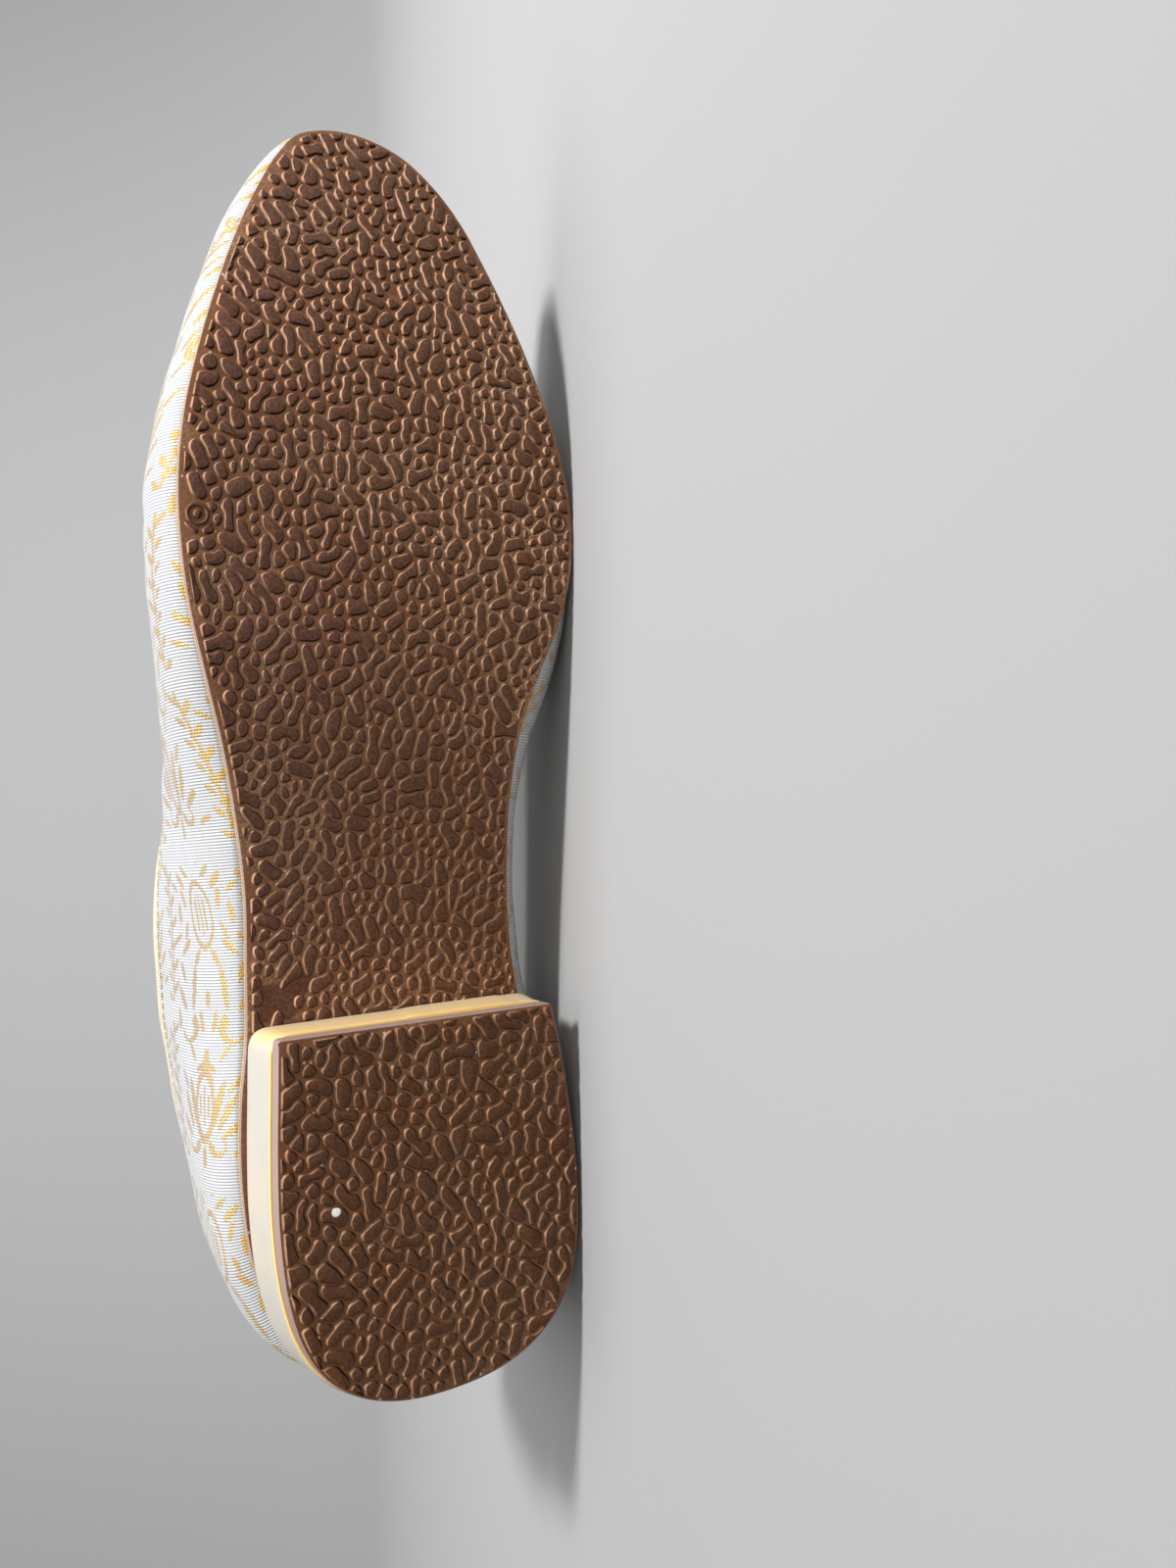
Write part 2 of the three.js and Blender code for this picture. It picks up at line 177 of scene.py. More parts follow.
# Tread of the heel: x and half width
HEEL_EDGE: Table = (
    (0, 0),
    (1.3, 13),
    (5, 22),
    (11, 29),
    (19, 33.4),
    (30, 36),
    (45, 36.8),
    (60, 36.1),
    (73, 35),
)
LATERAL_CORNER = (86.0, -33.9)
MEDIAL_CORNER = (84.0, 33.4)


class Slot(Enum):
    """The record's material slots."""

    BROCADE = "brocade"
    PIPING = "collar_piping"
    LINING = "sock_lining"
    SOLE = "sole_rubber"
    HEEL = "heel_cover"
    LIFT = "lift_rubber"


class Side(Enum):
    """The two sides of the shoe, as the sign of y."""

    LATERAL = -1
    MEDIAL = 1


@dataclass(frozen=True)
class Stance:
    """How the standing shoe is laid down in the frame of the CAD."""

    tip: float = math.radians(-76.3)
    turn: float = math.radians(-4.61)
    place: tuple[float, float, float] = (-0.148815, -0.0352804, 0.0332216)

    def matrix(self) -> Matrix:
        """Standing millimetres to lying metres."""
        laid = Matrix.Rotation(self.tip, 4, "X") @ Matrix.Rotation(self.turn, 4, "Z")
        return Matrix.Translation(self.place) @ laid @ Matrix.Scale(0.001, 4)


STANCE = Stance()


def column_of(rows: Table, column: int) -> Curve:
    """A smooth curve through one column of a table.

    Args:
        rows: the table, with x first in each row.
        column: which column to follow.

    Returns:
        A function from x to the value there.
    """
    xs = np.array([row[0] for row in rows], float)
    ys = np.array([row[column] for row in rows], float)
    before = np.maximum(np.arange(len(xs)) - 1, 0)
    after = np.minimum(np.arange(len(xs)) + 1, len(xs) - 1)
    slope = (ys[after] - ys[before]) / (xs[after] - xs[before])

    def at(x: np.ndarray) -> np.ndarray:
        """The value at x."""
        inside = np.clip(x, xs[0], xs[-1])
        i = np.clip(np.searchsorted(xs, inside, "left") - 1, 0, len(xs) - 2)
        span = xs[i + 1] - xs[i]
        t = (inside - xs[i]) / span
        rise = ys[i + 1] - ys[i]
        leave = slope[i] * span - rise
        arrive = rise - slope[i + 1] * span
        return ys[i] + t * rise + t * (1 - t) * ((1 - t) * leave + t * arrive)

    return at


def smooth_through(points: np.ndarray, closed: bool, per_span: int) -> np.ndarray:
    """Points on the centripetal curve through given points.

    Args:
        points: the points to pass, one row each.
        closed: whether the curve returns to its first point.
        per_span: how many points each span gets.

    Returns:
        The points on the curve; an open curve ends on its last point.
    """
    count = len(points)
    if closed:
        ring = points
    else:
        ring = np.vstack([2 * points[0] - points[1], points, 2 * points[-1] - points[-2]])
    first = 0 if closed else 1
    spans = count if closed else count - 1
    t = np.arange(per_span)[:, None] / per_span
    out = []
    for i in range(first, first + spans):
        a, b, c, d = (ring[(i + k) % len(ring)] for k in (-1, 0, 1, 2))
        da, db, dc = (max(1e-4, float(np.linalg.norm(q - p)) ** 0.5) for p, q in ((a, b), (b, c), (c, d)))
        leave = ((b - a) / da - (c - a) / (da + db) + (c - b) / db) * db
        arrive = ((c - b) / db - (d - b) / (db + dc) + (d - c) / dc) * db
        bend = 2 * b - 2 * c + leave + arrive
        out.append(b + t * leave + t**2 * (3 * c - 3 * b - 2 * leave - arrive) + t**3 * bend)
    if not closed:
        out.append(points[-1:])
    return np.vstack(out)


def unit(way: np.ndarray) -> np.ndarray:
    """The same directions, of length 1."""
    return way / np.linalg.norm(way, axis=-1, keepdims=True)


def run_along(points: np.ndarray) -> np.ndarray:
    """The distance along a path at each of its points."""
    return np.concatenate([[0], np.cumsum(np.linalg.norm(np.diff(points, axis=0), axis=1))])


def smoothstep(x: np.ndarray, low: float, high: float) -> np.ndarray:
    """0 below low, 1 above high, smooth between."""
    t = np.clip((x - low) / (high - low), 0, 1)
    return t * t * (3 - 2 * t)


def sole_bottom(x: np.ndarray, y: np.ndarray) -> np.ndarray:
    """The tread of the sole: flat seat, falling shank, ball on the ground and toe spring.

    Args:
        x: distance from the heel.
        y: distance to the medial side.

    Returns:
        The height there.
    """
    climb = smoothstep(BALL_START - x, 0, BALL_START - SEAT_END)
    spring = np.maximum(0, (x - SPRING_START) / (TOE - SPRING_START))
    return HEEL_SEAT * climb + spring**2 * (SPRING_TIP + TOE_CUP * (y / CUP_WIDTH) ** 2)


class Last:
    """The form that the shoe is made on, as ribs that rise from the edge of the sole."""

    def __init__(self) -> None:
        """Draws the edge of the sole and the columns of the tables."""
        lateral = [(x, -out) for x, out, _ in SOLE_EDGE]
        medial = [(x, out) for x, _, out in SOLE_EDGE]
        points = np.array([SOLE_HEEL, *lateral, SOLE_TOE, *reversed(medial)], float)
        self.fine = 64
        self.edge_points = smooth_through(points, True, self.fine)
        self.side_rows = len(SOLE_EDGE) + 1
        self.throat_row = 1 + [row[0] for row in SOLE_EDGE].index(THROAT_X)
        self.lateral_out, self.medial_out, self.lateral_z, self.medial_z = (
            column_of(SWELL, i) for i in (1, 2, 3, 4)
        )
        self.crown_z = column_of(CROWN, 1)
        self.crown_y = column_of(CROWN, 2)
        self.topline = column_of(TOPLINE, 1)

    def edge(self, turn: np.ndarray) -> tuple[np.ndarray, np.ndarray]:
        """The edge of the sole in plan.

        Args:
            turn: place along the edge, from 0 at the heel by the lateral side to the toe and back to 1.

        Returns:
            The points and the directions that point out from them.
        """
        count = len(self.edge_points)

        def at(share: np.ndarray) -> np.ndarray:
            """The point at a share of the edge."""
            place = np.mod(share, 1.0) * count
            low = np.floor(place).astype(int)
            part = (place - low)[..., None]
            a, b = self.edge_points[low % count], self.edge_points[(low + 1) % count]
            return a + (b - a) * part

        step = 6e-4
        along = at(turn + step) - at(turn - step)
        return at(turn), unit(np.stack([along[..., 1], -along[..., 0]], -1))

    def crown(self, turn: np.ndarray) -> np.ndarray:
        """The point of the crown that a rib leads to.

        Args:
            turn: places along the edge of the sole.

        Returns:
            The points, in standing millimetres.
        """
        here = (self.edge(turn)[0][..., 0] + self.edge(1 - turn)[0][..., 0]) / 2
        from_heel = np.maximum(0, 1 - here / HEEL_REACH_END)
        from_toe = np.maximum(0, (here - TOE_REACH_START) / (TOE - TOE_REACH_START))
        x = here + HEEL_REACH * from_heel**2 - TOE_REACH * from_toe**2
        return np.stack([x, self.crown_y(x), self.crown_z(x)], -1)

    def rib(self, turn: np.ndarray, reach: np.ndarray) -> np.ndarray:
        """Points on the outside of the upper.

        Args:
            turn: places along the edge of the sole.
            reach: how far up each rib, 0 at the sole, 1 at its widest and 2 at the crown.

        Returns:
            The points, in standing millimetres.
        """
        flat, out = self.edge(turn)
        lateral = np.mod(turn, 1.0) < 0.5
        x = flat[..., 0]
        foot_xy = flat - out * FEATHER_INSET
        foot_z = sole_bottom(foot_xy[..., 0], foot_xy[..., 1]) + SOLE_THICKNESS + GAP
        foot = np.concatenate([foot_xy, foot_z[..., None]], -1)
        width = np.where(lateral, self.lateral_out(x), self.medial_out(x))[..., None]
        wide_xy = flat + out * width
        wide_z = np.where(lateral, self.lateral_z(x), self.medial_z(x))
        wide = np.concatenate([wide_xy, wide_z[..., None]], -1)
        turn_up = wide.copy()
        turn_up[..., 2] = foot_z + FEATHER_LIFT * (wide_z - foot_z)
        t = np.clip(reach, 0, 1)[..., None]
        lower = (1 - t) ** 2 * foot + 2 * t * (1 - t) * turn_up + t**2 * wide
        top = self.crown(turn)
        rise = wide.copy()
        rise[..., 2] += SIDE_FULLNESS * (top[..., 2] - wide[..., 2])
        shoulder = top + (wide - top) * TOP_FULLNESS
        shoulder[..., 2] = top[..., 2] + self.crown_slope(top[..., 0]) * (shoulder[..., 0] - top[..., 0])
        t = np.clip(reach - 1, 0, 1)[..., None]
        upper = (1 - t) ** 3 * wide + 3 * t * (1 - t) ** 2 * rise + 3 * t**2 * (1 - t) * shoulder + t**3 * top
        return np.where(reach[..., None] <= 1, lower, upper)

    def crown_slope(self, x: np.ndarray) -> np.ndarray:
        """How steeply the crown rises towards the toe."""
        return self.crown_z(x + 0.5) - self.crown_z(x - 0.5)

    def rib_end(self, turn: np.ndarray, row: np.ndarray) -> np.ndarray:
        """How far up each rib the upper goes: to the crown, or behind the throat to the top edge.

        Args:
            turn: places along the edge of the sole.
            row: the row of each rib in the table of the sole's edge.

        Returns:
            The reach of each rib.
        """
        halvings = 30
        low = np.full(turn.shape, 1.0)
        high = np.full(turn.shape, 2.0)
        for _ in range(halvings):
            middle = (low + high) / 2
            point = self.rib(turn, middle)
            under = point[..., 2] < self.topline(point[..., 0])
            low = np.where(under, middle, low)
            high = np.where(under, high, middle)
        return np.where(row >= self.throat_row - 1e-9, 2.0, low)

    def rows(
        self, per_row: int, near_throat: Iterable[float] = (), near_heel: Iterable[float] = ()
    ) -> np.ndarray:
        """Rows of ribs from heel to toe.

        Args:
            per_row: how many steps each row of the table gets.
            near_throat: extra rows, as distances behind the throat.
            near_heel: extra rows, as distances from the back.

        Returns:
            The rows in rising order.
        """
        even = np.arange(self.side_rows * per_row + 1) / per_row
        extra = [self.throat_row - back for back in near_throat] + list(near_heel)
        return np.unique(np.round(np.concatenate([even, extra]), 9))

    def around(self, rows: np.ndarray) -> tuple[np.ndarray, np.ndarray]:
        """Turn and row of each rib once around: lateral side to the toe, medial side back to the heel."""
        turn = np.concatenate([rows, 2 * self.side_rows - rows[::-1][1:]]) / (2 * self.side_rows)
        return turn, np.concatenate([rows, rows[::-1][1:]])


LAST = Last()


def lattice(
    bm: bmesh.types.BMesh, points: np.ndarray, uv: np.ndarray | None = None
) -> list[bmesh.types.BMFace]:
    """A grid of faces through a field of points.

    Args:
        bm: the mesh to add to.
        points: rows of columns of points, in standing millimetres.
        uv: the same rows and columns of texture places, in millimetres.

    Returns:
        The new faces.
    """
    rows, columns = points.shape[:2]
    made = bmesh.ops.create_grid(bm, x_segments=columns - 1, y_segments=rows - 1, size=1.0)
    index: dict = {}
    for vert in made["verts"]:
        j = round((vert.co.x + 1) / 2 * (columns - 1))
        i = round((vert.co.y + 1) / 2 * (rows - 1))
        vert.co = points[i, j]
        index[vert] = (i, j)
    faces = list(dict.fromkeys(face for vert in made["verts"] for face in vert.link_faces))
    if uv is not None:
        layer = bm.loops.layers.uv.get("weave") or bm.loops.layers.uv.new("weave")
        for face in faces:
            for loop in face.loops:
                loop[layer].uv = uv[index[loop.vert]]
    return faces


def face_up(faces: Iterable[bmesh.types.BMFace]) -> None:
    """Turns flat faces upwards."""
    for face in faces:
        if face.normal.z < 0:
            face.normal_flip()


def face_outwards(bm: bmesh.types.BMesh) -> None:
    """Turns all faces outwards."""
    bm.normal_update()
    bmesh.ops.recalc_face_normals(bm, faces=bm.faces[:])


def merge(bm: bmesh.types.BMesh, distance: float = 0.002) -> None:
    """Merges doubled points."""
    bmesh.ops.remove_doubles(bm, verts=bm.verts[:], dist=distance)


def open_edges(bm: bmesh.types.BMesh) -> list[bmesh.types.BMEdge]:
    """The edges that close only one face."""
    return [edge for edge in bm.edges if len(edge.link_faces) == 1]


def mark_walls(bm: bmesh.types.BMesh, level: float) -> None:
    """Gives the second finish to the faces whose normal rises by less than a level."""
    bm.normal_update()
    for face in bm.faces:
        if abs(face.normal.z) < level:
            face.material_index = 1


def finished(
    bm: bmesh.types.BMesh, name: str, material: bpy.types.Material, smooth_angle: float = 40.0
) -> bpy.types.Object:
    """Lays a piece down in the frame of the CAD and makes it an object.

    Args:
        bm: the mesh, in standing millimetres.
        name: the piece's name.
        material: its finish.
        smooth_angle: edges sharper than this, in degrees, stay sharp.

    Returns:
        The new object, riding on the root body.
    """
    bmesh.ops.transform(bm, matrix=STANCE.matrix(), verts=bm.verts[:])
    for face in bm.faces:
        face.smooth = True
    for edge in bm.edges:
        if len(edge.link_faces) == 2 and edge.calc_face_angle(0.0) > math.radians(smooth_angle):
            edge.smooth = False
    mesh = bpy.data.meshes.new(name)
    bm.to_mesh(mesh)
    bm.free()
    piece = bpy.data.objects.new(name, mesh)
    bpy.context.scene.collection.objects.link(piece)
    mesh.materials.append(material)
    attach(piece, "root")
    log.info("%s: %d faces", name, len(mesh.polygons))
    return piece


class Wire:
    """One value in a shader, with the arithmetic that a pattern is drawn with."""

    def __init__(self, tree: bpy.types.NodeTree, socket: bpy.types.NodeSocket) -> None:
        """Wraps an output socket."""
        self.tree = tree
        self.socket = socket

    def calc(self, operation: str, *others: Wire | float) -> Wire:
        """A Math node on this value and others.

        Args:
            operation: the node's operation.
            others: the values for its other inputs.

        Returns:
            The result.
        """
        node = self.tree.nodes.new("ShaderNodeMath")
        node.operation = operation
        for socket, value in zip(node.inputs, (self, *others)):
            if isinstance(value, Wire):
                self.tree.links.new(value.socket, socket)
            else:
                socket.default_value = value
        return Wire(self.tree, node.outputs[0])

    def __add__(self, other: Wire | float) -> Wire:
        """Sum."""
        return self.calc("ADD", other)

    def __sub__(self, other: Wire | float) -> Wire:
        """Difference."""
        return self.calc("SUBTRACT", other)

    def __mul__(self, other: Wire | float) -> Wire:
        """Product."""
        return self.calc("MULTIPLY", other)

    def abs(self) -> Wire:
        """Size without sign."""
        return self.calc("ABSOLUTE")

    def min(self, other: Wire | float) -> Wire:
        """The smaller value: the union of two shapes."""
        return self.calc("MINIMUM", other)

    def max(self, other: Wire | float) -> Wire:
        """The larger value: the overlap of two shapes."""
        return self.calc("MAXIMUM", other)

    def floor(self) -> Wire:
        """The whole number below."""
        return self.calc("FLOOR")

    def mod(self, step: float) -> Wire:
        """The rest after whole steps, never below 0."""
        return self.calc("FLOORED_MODULO", step)

    def snap(self, step: float) -> Wire:
        """The value in whole steps."""
        return self.calc("SNAP", step)

    def cos(self) -> Wire:
        """Cosine."""
        return self.calc("COSINE")

    def power(self, exponent: float) -> Wire:
        """Power."""
        return self.calc("POWER", exponent)

    def angle(self, other: Wire) -> Wire:
        """Angle of the point whose height is this value and whose reach is the other."""
        return self.calc("ARCTAN2", other)

    def hypot(self, other: Wire) -> Wire:
        """Distance from the centre."""
        return (self * self + other * other).calc("SQRT")

    def ramp(self, low: float, high: float, start: float = 0.0, end: float = 1.0) -> Wire:
        """A smooth step.

        Args:
            low: the value at which the step begins; it may be the greater of the two.
            high: the value at which it is complete.
            start: the result at low.
            end: the result at high.

        Returns:
            The result.
        """
        node = self.tree.nodes.new("ShaderNodeMapRange")
        node.interpolation_type = "SMOOTHSTEP"
        self.tree.links.new(self.socket, node.inputs["Value"])
        node.inputs["From Min"].default_value = min(low, high)
        node.inputs["From Max"].default_value = max(low, high)
        node.inputs["To Min"].default_value = start if low < high else end
        node.inputs["To Max"].default_value = end if low < high else start
        return Wire(self.tree, node.outputs["Result"])


class Sheet:
    """The nodes of one material or node group, with short calls to add more."""

    def __init__(self, tree: bpy.types.NodeTree) -> None:
        """Wraps a node tree."""
        self.tree = tree

    def node(self, kind: str, **settings: object) -> bpy.types.Node:
        """A new node.

        Args:
            kind: the node's type.
            settings: its settings by name.

        Returns:
            The node.
        """
        made = self.tree.nodes.new(kind)
        for key, value in settings.items():
            setattr(made, key, value)
        return made

    def feed(self, socket: bpy.types.NodeSocket, value: object) -> None:
        """Links a value to an input, or sets the input's own value.

        Args:
            socket: the input.
            value: a wire or socket to link, or a number or colour to set.
        """
        if isinstance(value, Wire):
            self.tree.links.new(value.socket, socket)
        elif isinstance(value, bpy.types.NodeSocket):
            self.tree.links.new(value, socket)
        elif isinstance(value, tuple) and len(value) == 3 and socket.type == "RGBA":
            socket.default_value = (*value, 1.0)
        else:
            socket.default_value = value

    def wire(self, socket: bpy.types.NodeSocket) -> Wire:
        """Wraps a socket of this tree."""
        return Wire(self.tree, socket)

    def noise(self, vector: bpy.types.NodeSocket, scale: float, detail: float = 2.0) -> Wire:
        """Noise about 0.5.

        Args:
            vector: the coordinates.
            scale: patches in each unit of them.
            detail: how many finer layers it has.

        Returns:
            The noise.
        """
        made = self.node("ShaderNodeTexNoise")
        self.feed(made.inputs["Vector"], vector)
        made.inputs["Scale"].default_value = scale
        made.inputs["Detail"].default_value = detail
        return self.wire(made.outputs[0])

    def mix(self, share: object, low: object, high: object) -> bpy.types.NodeSocket:
        """A colour between two colours.

        Args:
            share: how much of the second colour there is.
            low: the first colour.
            high: the second colour.

        Returns:
            The socket that brings the colour.
        """
        made = self.node("ShaderNodeMix", data_type="RGBA")
        self.feed(made.inputs[0], share)
        self.feed(made.inputs[6], low)
        self.feed(made.inputs[7], high)
        return made.outputs[2]

    def group(self, group: bpy.types.NodeTree, **values: object) -> bpy.types.Node:
        """Places a node group.

        Args:
            group: the group.
            values: the values of its inputs by name.

        Returns:
            The node that holds it.
        """
        made = self.node("ShaderNodeGroup", node_tree=group)
        for key, value in values.items():
            self.feed(made.inputs[key], value)
        return made

    def attribute(self, name: str) -> Wire:
        """A number that the mesh carries."""
        return self.wire(self.node("ShaderNodeAttribute", attribute_name=name).outputs["Fac"])

    def split(self, vector: object) -> tuple[Wire, Wire, Wire]:
        """The three numbers of a vector or colour."""
        parts = self.node("ShaderNodeSeparateXYZ")
        self.feed(parts.inputs[0], vector)
        return tuple(self.wire(part) for part in parts.outputs)

    def join(self, x: Wire, y: Wire) -> bpy.types.NodeSocket:
        """A vector from two numbers."""
        joined = self.node("ShaderNodeCombineXYZ")
        self.feed(joined.inputs[0], x)
        self.feed(joined.inputs[1], y)
        return joined.outputs[0]

    def bump(self, height: object, distance: float) -> Wire:
        """A normal raised by a height map.

        Args:
            height: the map.
            distance: its full height, in metres.

        Returns:
            The normal.
        """
        made = self.node("ShaderNodeBump")
        made.inputs["Distance"].default_value = distance
        made.inputs["Strength"].default_value = 1.0
        self.feed(made.inputs["Height"], height)
        return self.wire(made.outputs["Normal"])


class Kind(Enum):
    """Sockets of a node group."""

    NUMBER = "NodeSocketFloat"
    COLOUR = "NodeSocketColor"
    VECTOR = "NodeSocketVector"


def new_group(
    name: str, inputs: dict[str, tuple[Kind, object]], outputs: dict[str, Kind]
) -> tuple[Sheet, bpy.types.NodeOutputs, bpy.types.NodeInputs]:
    """An empty shader node group.

    Args:
        name: the group's name.
        inputs: the name of each input, with its kind and its value when nothing is given.
        outputs: the name and kind of each output.

    Returns:
        The group's sheet, the sockets that bring its inputs, and the sockets to feed.
    """
    tree = bpy.data.node_groups.new(name, "ShaderNodeTree")
    for label, (kind, value) in inputs.items():
        socket = tree.interface.new_socket(name=label, in_out="INPUT", socket_type=kind.value)
        if kind is not Kind.VECTOR:
            socket.default_value = value
    for label, kind in outputs.items():
        tree.interface.new_socket(name=label, in_out="OUTPUT", socket_type=kind.value)
    sheet = Sheet(tree)
    return sheet, sheet.node("NodeGroupInput").outputs, sheet.node("NodeGroupOutput").inputs


# Leaves of the damask, from the heart of a lotus: place along and across, turn, half length and half width
LOTUS_LEAVES: Table = (
    (11.4, 0, 0, 2.3, 1.0),
    (9.4, 1.9, -0.9, 1.7, 0.65),
    (1.0, 4.5, 0.3, 6.0, 0.95),
    (-0.8, 7.1, 0.5, 4.8, 0.9),
    (-4.6, 8.8, 0.95, 3.2, 0.85),
    (-11.4, 0, 0, 2.6, 0.9),
    (6.0, 9.3, 0.75, 2.8, 0.7),
    (13.0, 5.6, 0.6, 2.6, 0.6),
    (-9.6, 11.0, 1.2, 2.4, 0.7),
)
SCROLL_LEAVES: Table = (
    (28.0, 5.0, -0.14, 5.4, 0.8),
    (25.2, 10.6, 0.55, 3.4, 0.85),
    (20.0, 12.6, 0.15, 2.6, 0.75),
    (31.5, 9.6, 0.3, 2.6, 0.7),
    (20.0, 2.2, 0.2, 2.6, 0.65),
    (25.4, 0, 0, 2.0, 0.8),
)
SEED_LEAVES: Table = (
    (37.6, 7.4, -0.75, 2.8, 0.8),
    (45.6, 9.4, 0, 2.6, 0.75),
    (53.4, 7.2, 0.8, 2.8, 0.8),
    (60.5, 0, 0, 2.4, 0.9),
    (58.6, 3.2, 0.85, 1.9, 0.65),
    (35.2, 3.0, -0.5, 2.2, 0.65),
    (41.4, 6.6, -0.3, 2.4, 0.6),
    (49.2, 6.7, 0.3, 2.4, 0.6),
    (55.4, 4.4, 0.9, 2.2, 0.65),
    (39.4, 11.4, -1.0, 2.2, 0.65),
    (51.8, 11.4, 1.0, 2.2, 0.65),
)
# Hooks of the damask: centre along and across, turn of the thick end, radius and greatest half width
HOOKS: Table = (
    (18.4, 7.4, 2.6, 3.7, 1.35),
    (-8.4, 4.6, 1.9, 2.7, 1.0),
)
# Ovals of the damask: place along, half length, half width and width of the line, then the stripes inside
OVALS: Table = (
    (0.6, 7.8, 3.1, 0.5, 1.5),
    (45.2, 7.6, 3.6, 0.35, 1.3),
)


@dataclass(frozen=True)
class Damask:
    """A traditional damask: columns of lotus, scrolls and seed, every other one shifted half a repeat.

    Lengths are millimetres along (u) and across (v) the cloth.
    """

    sheet: Sheet
    repeat: float = 77.0
    column: float = 34.4
    start: float = 68.0
    # Steps of the pattern along and across, as a weaver's picks and ends
    pick: float = 0.7
    end: float = 0.5
    # Thickening of a hook towards its head, and how much its curl closes
    swell: float = 1.3
    curl: float = 0.9
    # Half width of an oval's stripes, and the plain band inside its line
    stripe: float = 0.28
    plain: float = 1.3
    # Vine between the columns: sway, half width of the stem, spacing of the leaflets, and one leaflet
    sway: float = 1.6
    stem: float = 0.5
    spacing: float = 5.2
    leaflet: tuple[float, ...] = (2.8, 1.9, 0.85, 2.2, 0.8)

    def fold(self, u: Wire, v: Wire) -> tuple[Wire, Wire]:
        """Folds the cloth into one mirrored repeat, in whole threads.

        Args:
            u: place along the cloth.
            v: place across it.

        Returns:
            The place along from the lotus, and across from its axis.
        """
        u = u.snap(self.pick)
        v = v.snap(self.end)
        index = (v * (1 / self.column)).floor()
        across = (v - (index + 0.5) * self.column).abs()
        shift = (index + 1).mod(2) * (self.repeat / 2)
        along = (u + (self.repeat * 1.25 - self.start) + shift).mod(self.repeat) - self.repeat * 0.25
        return along, across

    def leaf(
        self, place: bpy.types.NodeSocket, cu: float, cv: float, turn: float, half: float, width: float
    ) -> Wire:
        """An oval leaf.

        Args:
            place: where in the repeat.
            cu: its middle along.
            cv: its middle across.
            turn: its turn, in radians.
            half: its half length.
            width: its half width.

        Returns:
            Signed distance to it.
        """
        moved = self.sheet.node("ShaderNodeMapping", vector_type="TEXTURE")
        self.sheet.feed(moved.inputs["Vector"], place)
        moved.inputs["Location"].default_value = (cu, cv, 0)
        moved.inputs["Rotation"].default_value = (0, 0, turn)
        moved.inputs["Scale"].default_value = (half, width, 1)
        length = self.sheet.node("ShaderNodeVectorMath", operation="LENGTH")
        self.sheet.feed(length.inputs[0], moved.outputs[0])
        return self.sheet.wire(length.outputs["Value"]).calc("MULTIPLY_ADD", width, -width)

    def hook(
        self, along: Wire, across: Wire, cu: float, cv: float, turn: float, radius: float, width: float
    ) -> Wire:
        """A curled leaf that swells from a thin tail to a round end.

        Args:
            along: where in the repeat.
            across: the same across.
            cu: its centre along.
            cv: its centre across.
            turn: direction of the round end, in radians.
            radius: of the curl.
            width: its greatest half width.

        Returns:
            Signed distance to it.
        """
        p = along - cu
        q = across - cv
        cos, sin = math.cos(turn), math.sin(turn)
        swing = (q * cos - p * sin).angle(p * cos + q * sin) * (0.5 / math.pi) + 0.5
        bend = swing * -self.curl + radius
        return (p.hypot(q) - bend).abs() - swing * (self.swell * width) + (self.swell - 1) * width

    def oval(
        self,
        place: bpy.types.NodeSocket,
        across: Wire,
        cu: float,
        half: float,
        width: float,
        line: float,
        step: float,
    ) -> Wire:
        """An oval line on the axis, with stripes in it.

        Args:
            place: where in the repeat.
            across: the same across.
            cu: its middle along.
            half: its half length.
            width: its half width.
            line: half width of its line.
            step: from one stripe to the next.

        Returns:
            Signed distance to it.
        """
        body = self.leaf(place, cu, 0, 0, half, width)
        stripes = ((across + step / 2).mod(step) - step / 2).abs() - self.stripe
        return (body.abs() - line).min(stripes.max(body + self.plain))

    def vine(self, along: Wire, across: Wire) -> Wire:
        """The wavy stem between two columns, with leaflets and a break in each half repeat.

        Args:
            along: where in the repeat.
            across: the same across.

        Returns:
            Signed distance to it.
        """
        break_start, break_length = 19, 5
        course = (along * (2 * math.pi / self.repeat)).cos() * self.sway + self.column / 2
        off = (across - course).abs()
        leaflet = self.leaf(self.sheet.join((along + 1).mod(self.spacing), off), *self.leaflet)
        gap = ((along - break_start).mod(self.repeat / 2) - break_length) * -1
        return leaflet.min(off - self.stem).max(gap)

    def distance(self, u: Wire, v: Wire) -> Wire:
        """The whole pattern.

        Args:
            u: place along the cloth.
            v: place across it.

        Returns:
            Signed distance to the nearest motif, negative inside.
        """
        along, across = self.fold(u, v)
        place = self.sheet.join(along, across)
        d = self.vine(along, across)
        for row in (*LOTUS_LEAVES, *SCROLL_LEAVES, *SEED_LEAVES):
            d = d.min(self.leaf(place, *row))
        for row in HOOKS:
            d = d.min(self.hook(along, across, *row))
        for row in OVALS:
            d = d.min(self.oval(place, across, *row))
        return d


def damask_group() -> bpy.types.NodeTree:
    """Node group that draws the brocade's gold motifs and the ribs of its ground.

    Returns:
        The group, whose vector is the place on the cloth in millimetres.
    """
    edge = 0.1
    dash_length = 0.9
    sheet, given, put = new_group(
        "brocade_weave",
        {"Vector": (Kind.VECTOR, None)},
        {"Gold": Kind.NUMBER, "Ribs": Kind.NUMBER, "Height": Kind.NUMBER},
    )
    design = Damask(sheet)
    u, v, _ = sheet.split(given["Vector"])
    motif = design.distance(u, v).ramp(edge, -edge)
    pick = u * (1 / design.pick)
    float_end = (v + pick.floor().mod(2) * (dash_length / 2)).mod(dash_length)
    dash = (float_end - dash_length / 2).abs().ramp(0.43, 0.3)
    rib = ((pick.mod(1) - 0.5).abs() * 2).ramp(1.0, 0.2)
    gold = motif * dash
    sheet.feed(put["Gold"], gold)
    sheet.feed(put["Ribs"], rib)
    sheet.feed(put["Height"], rib * 0.5 + gold * 0.5)
    return sheet.tree


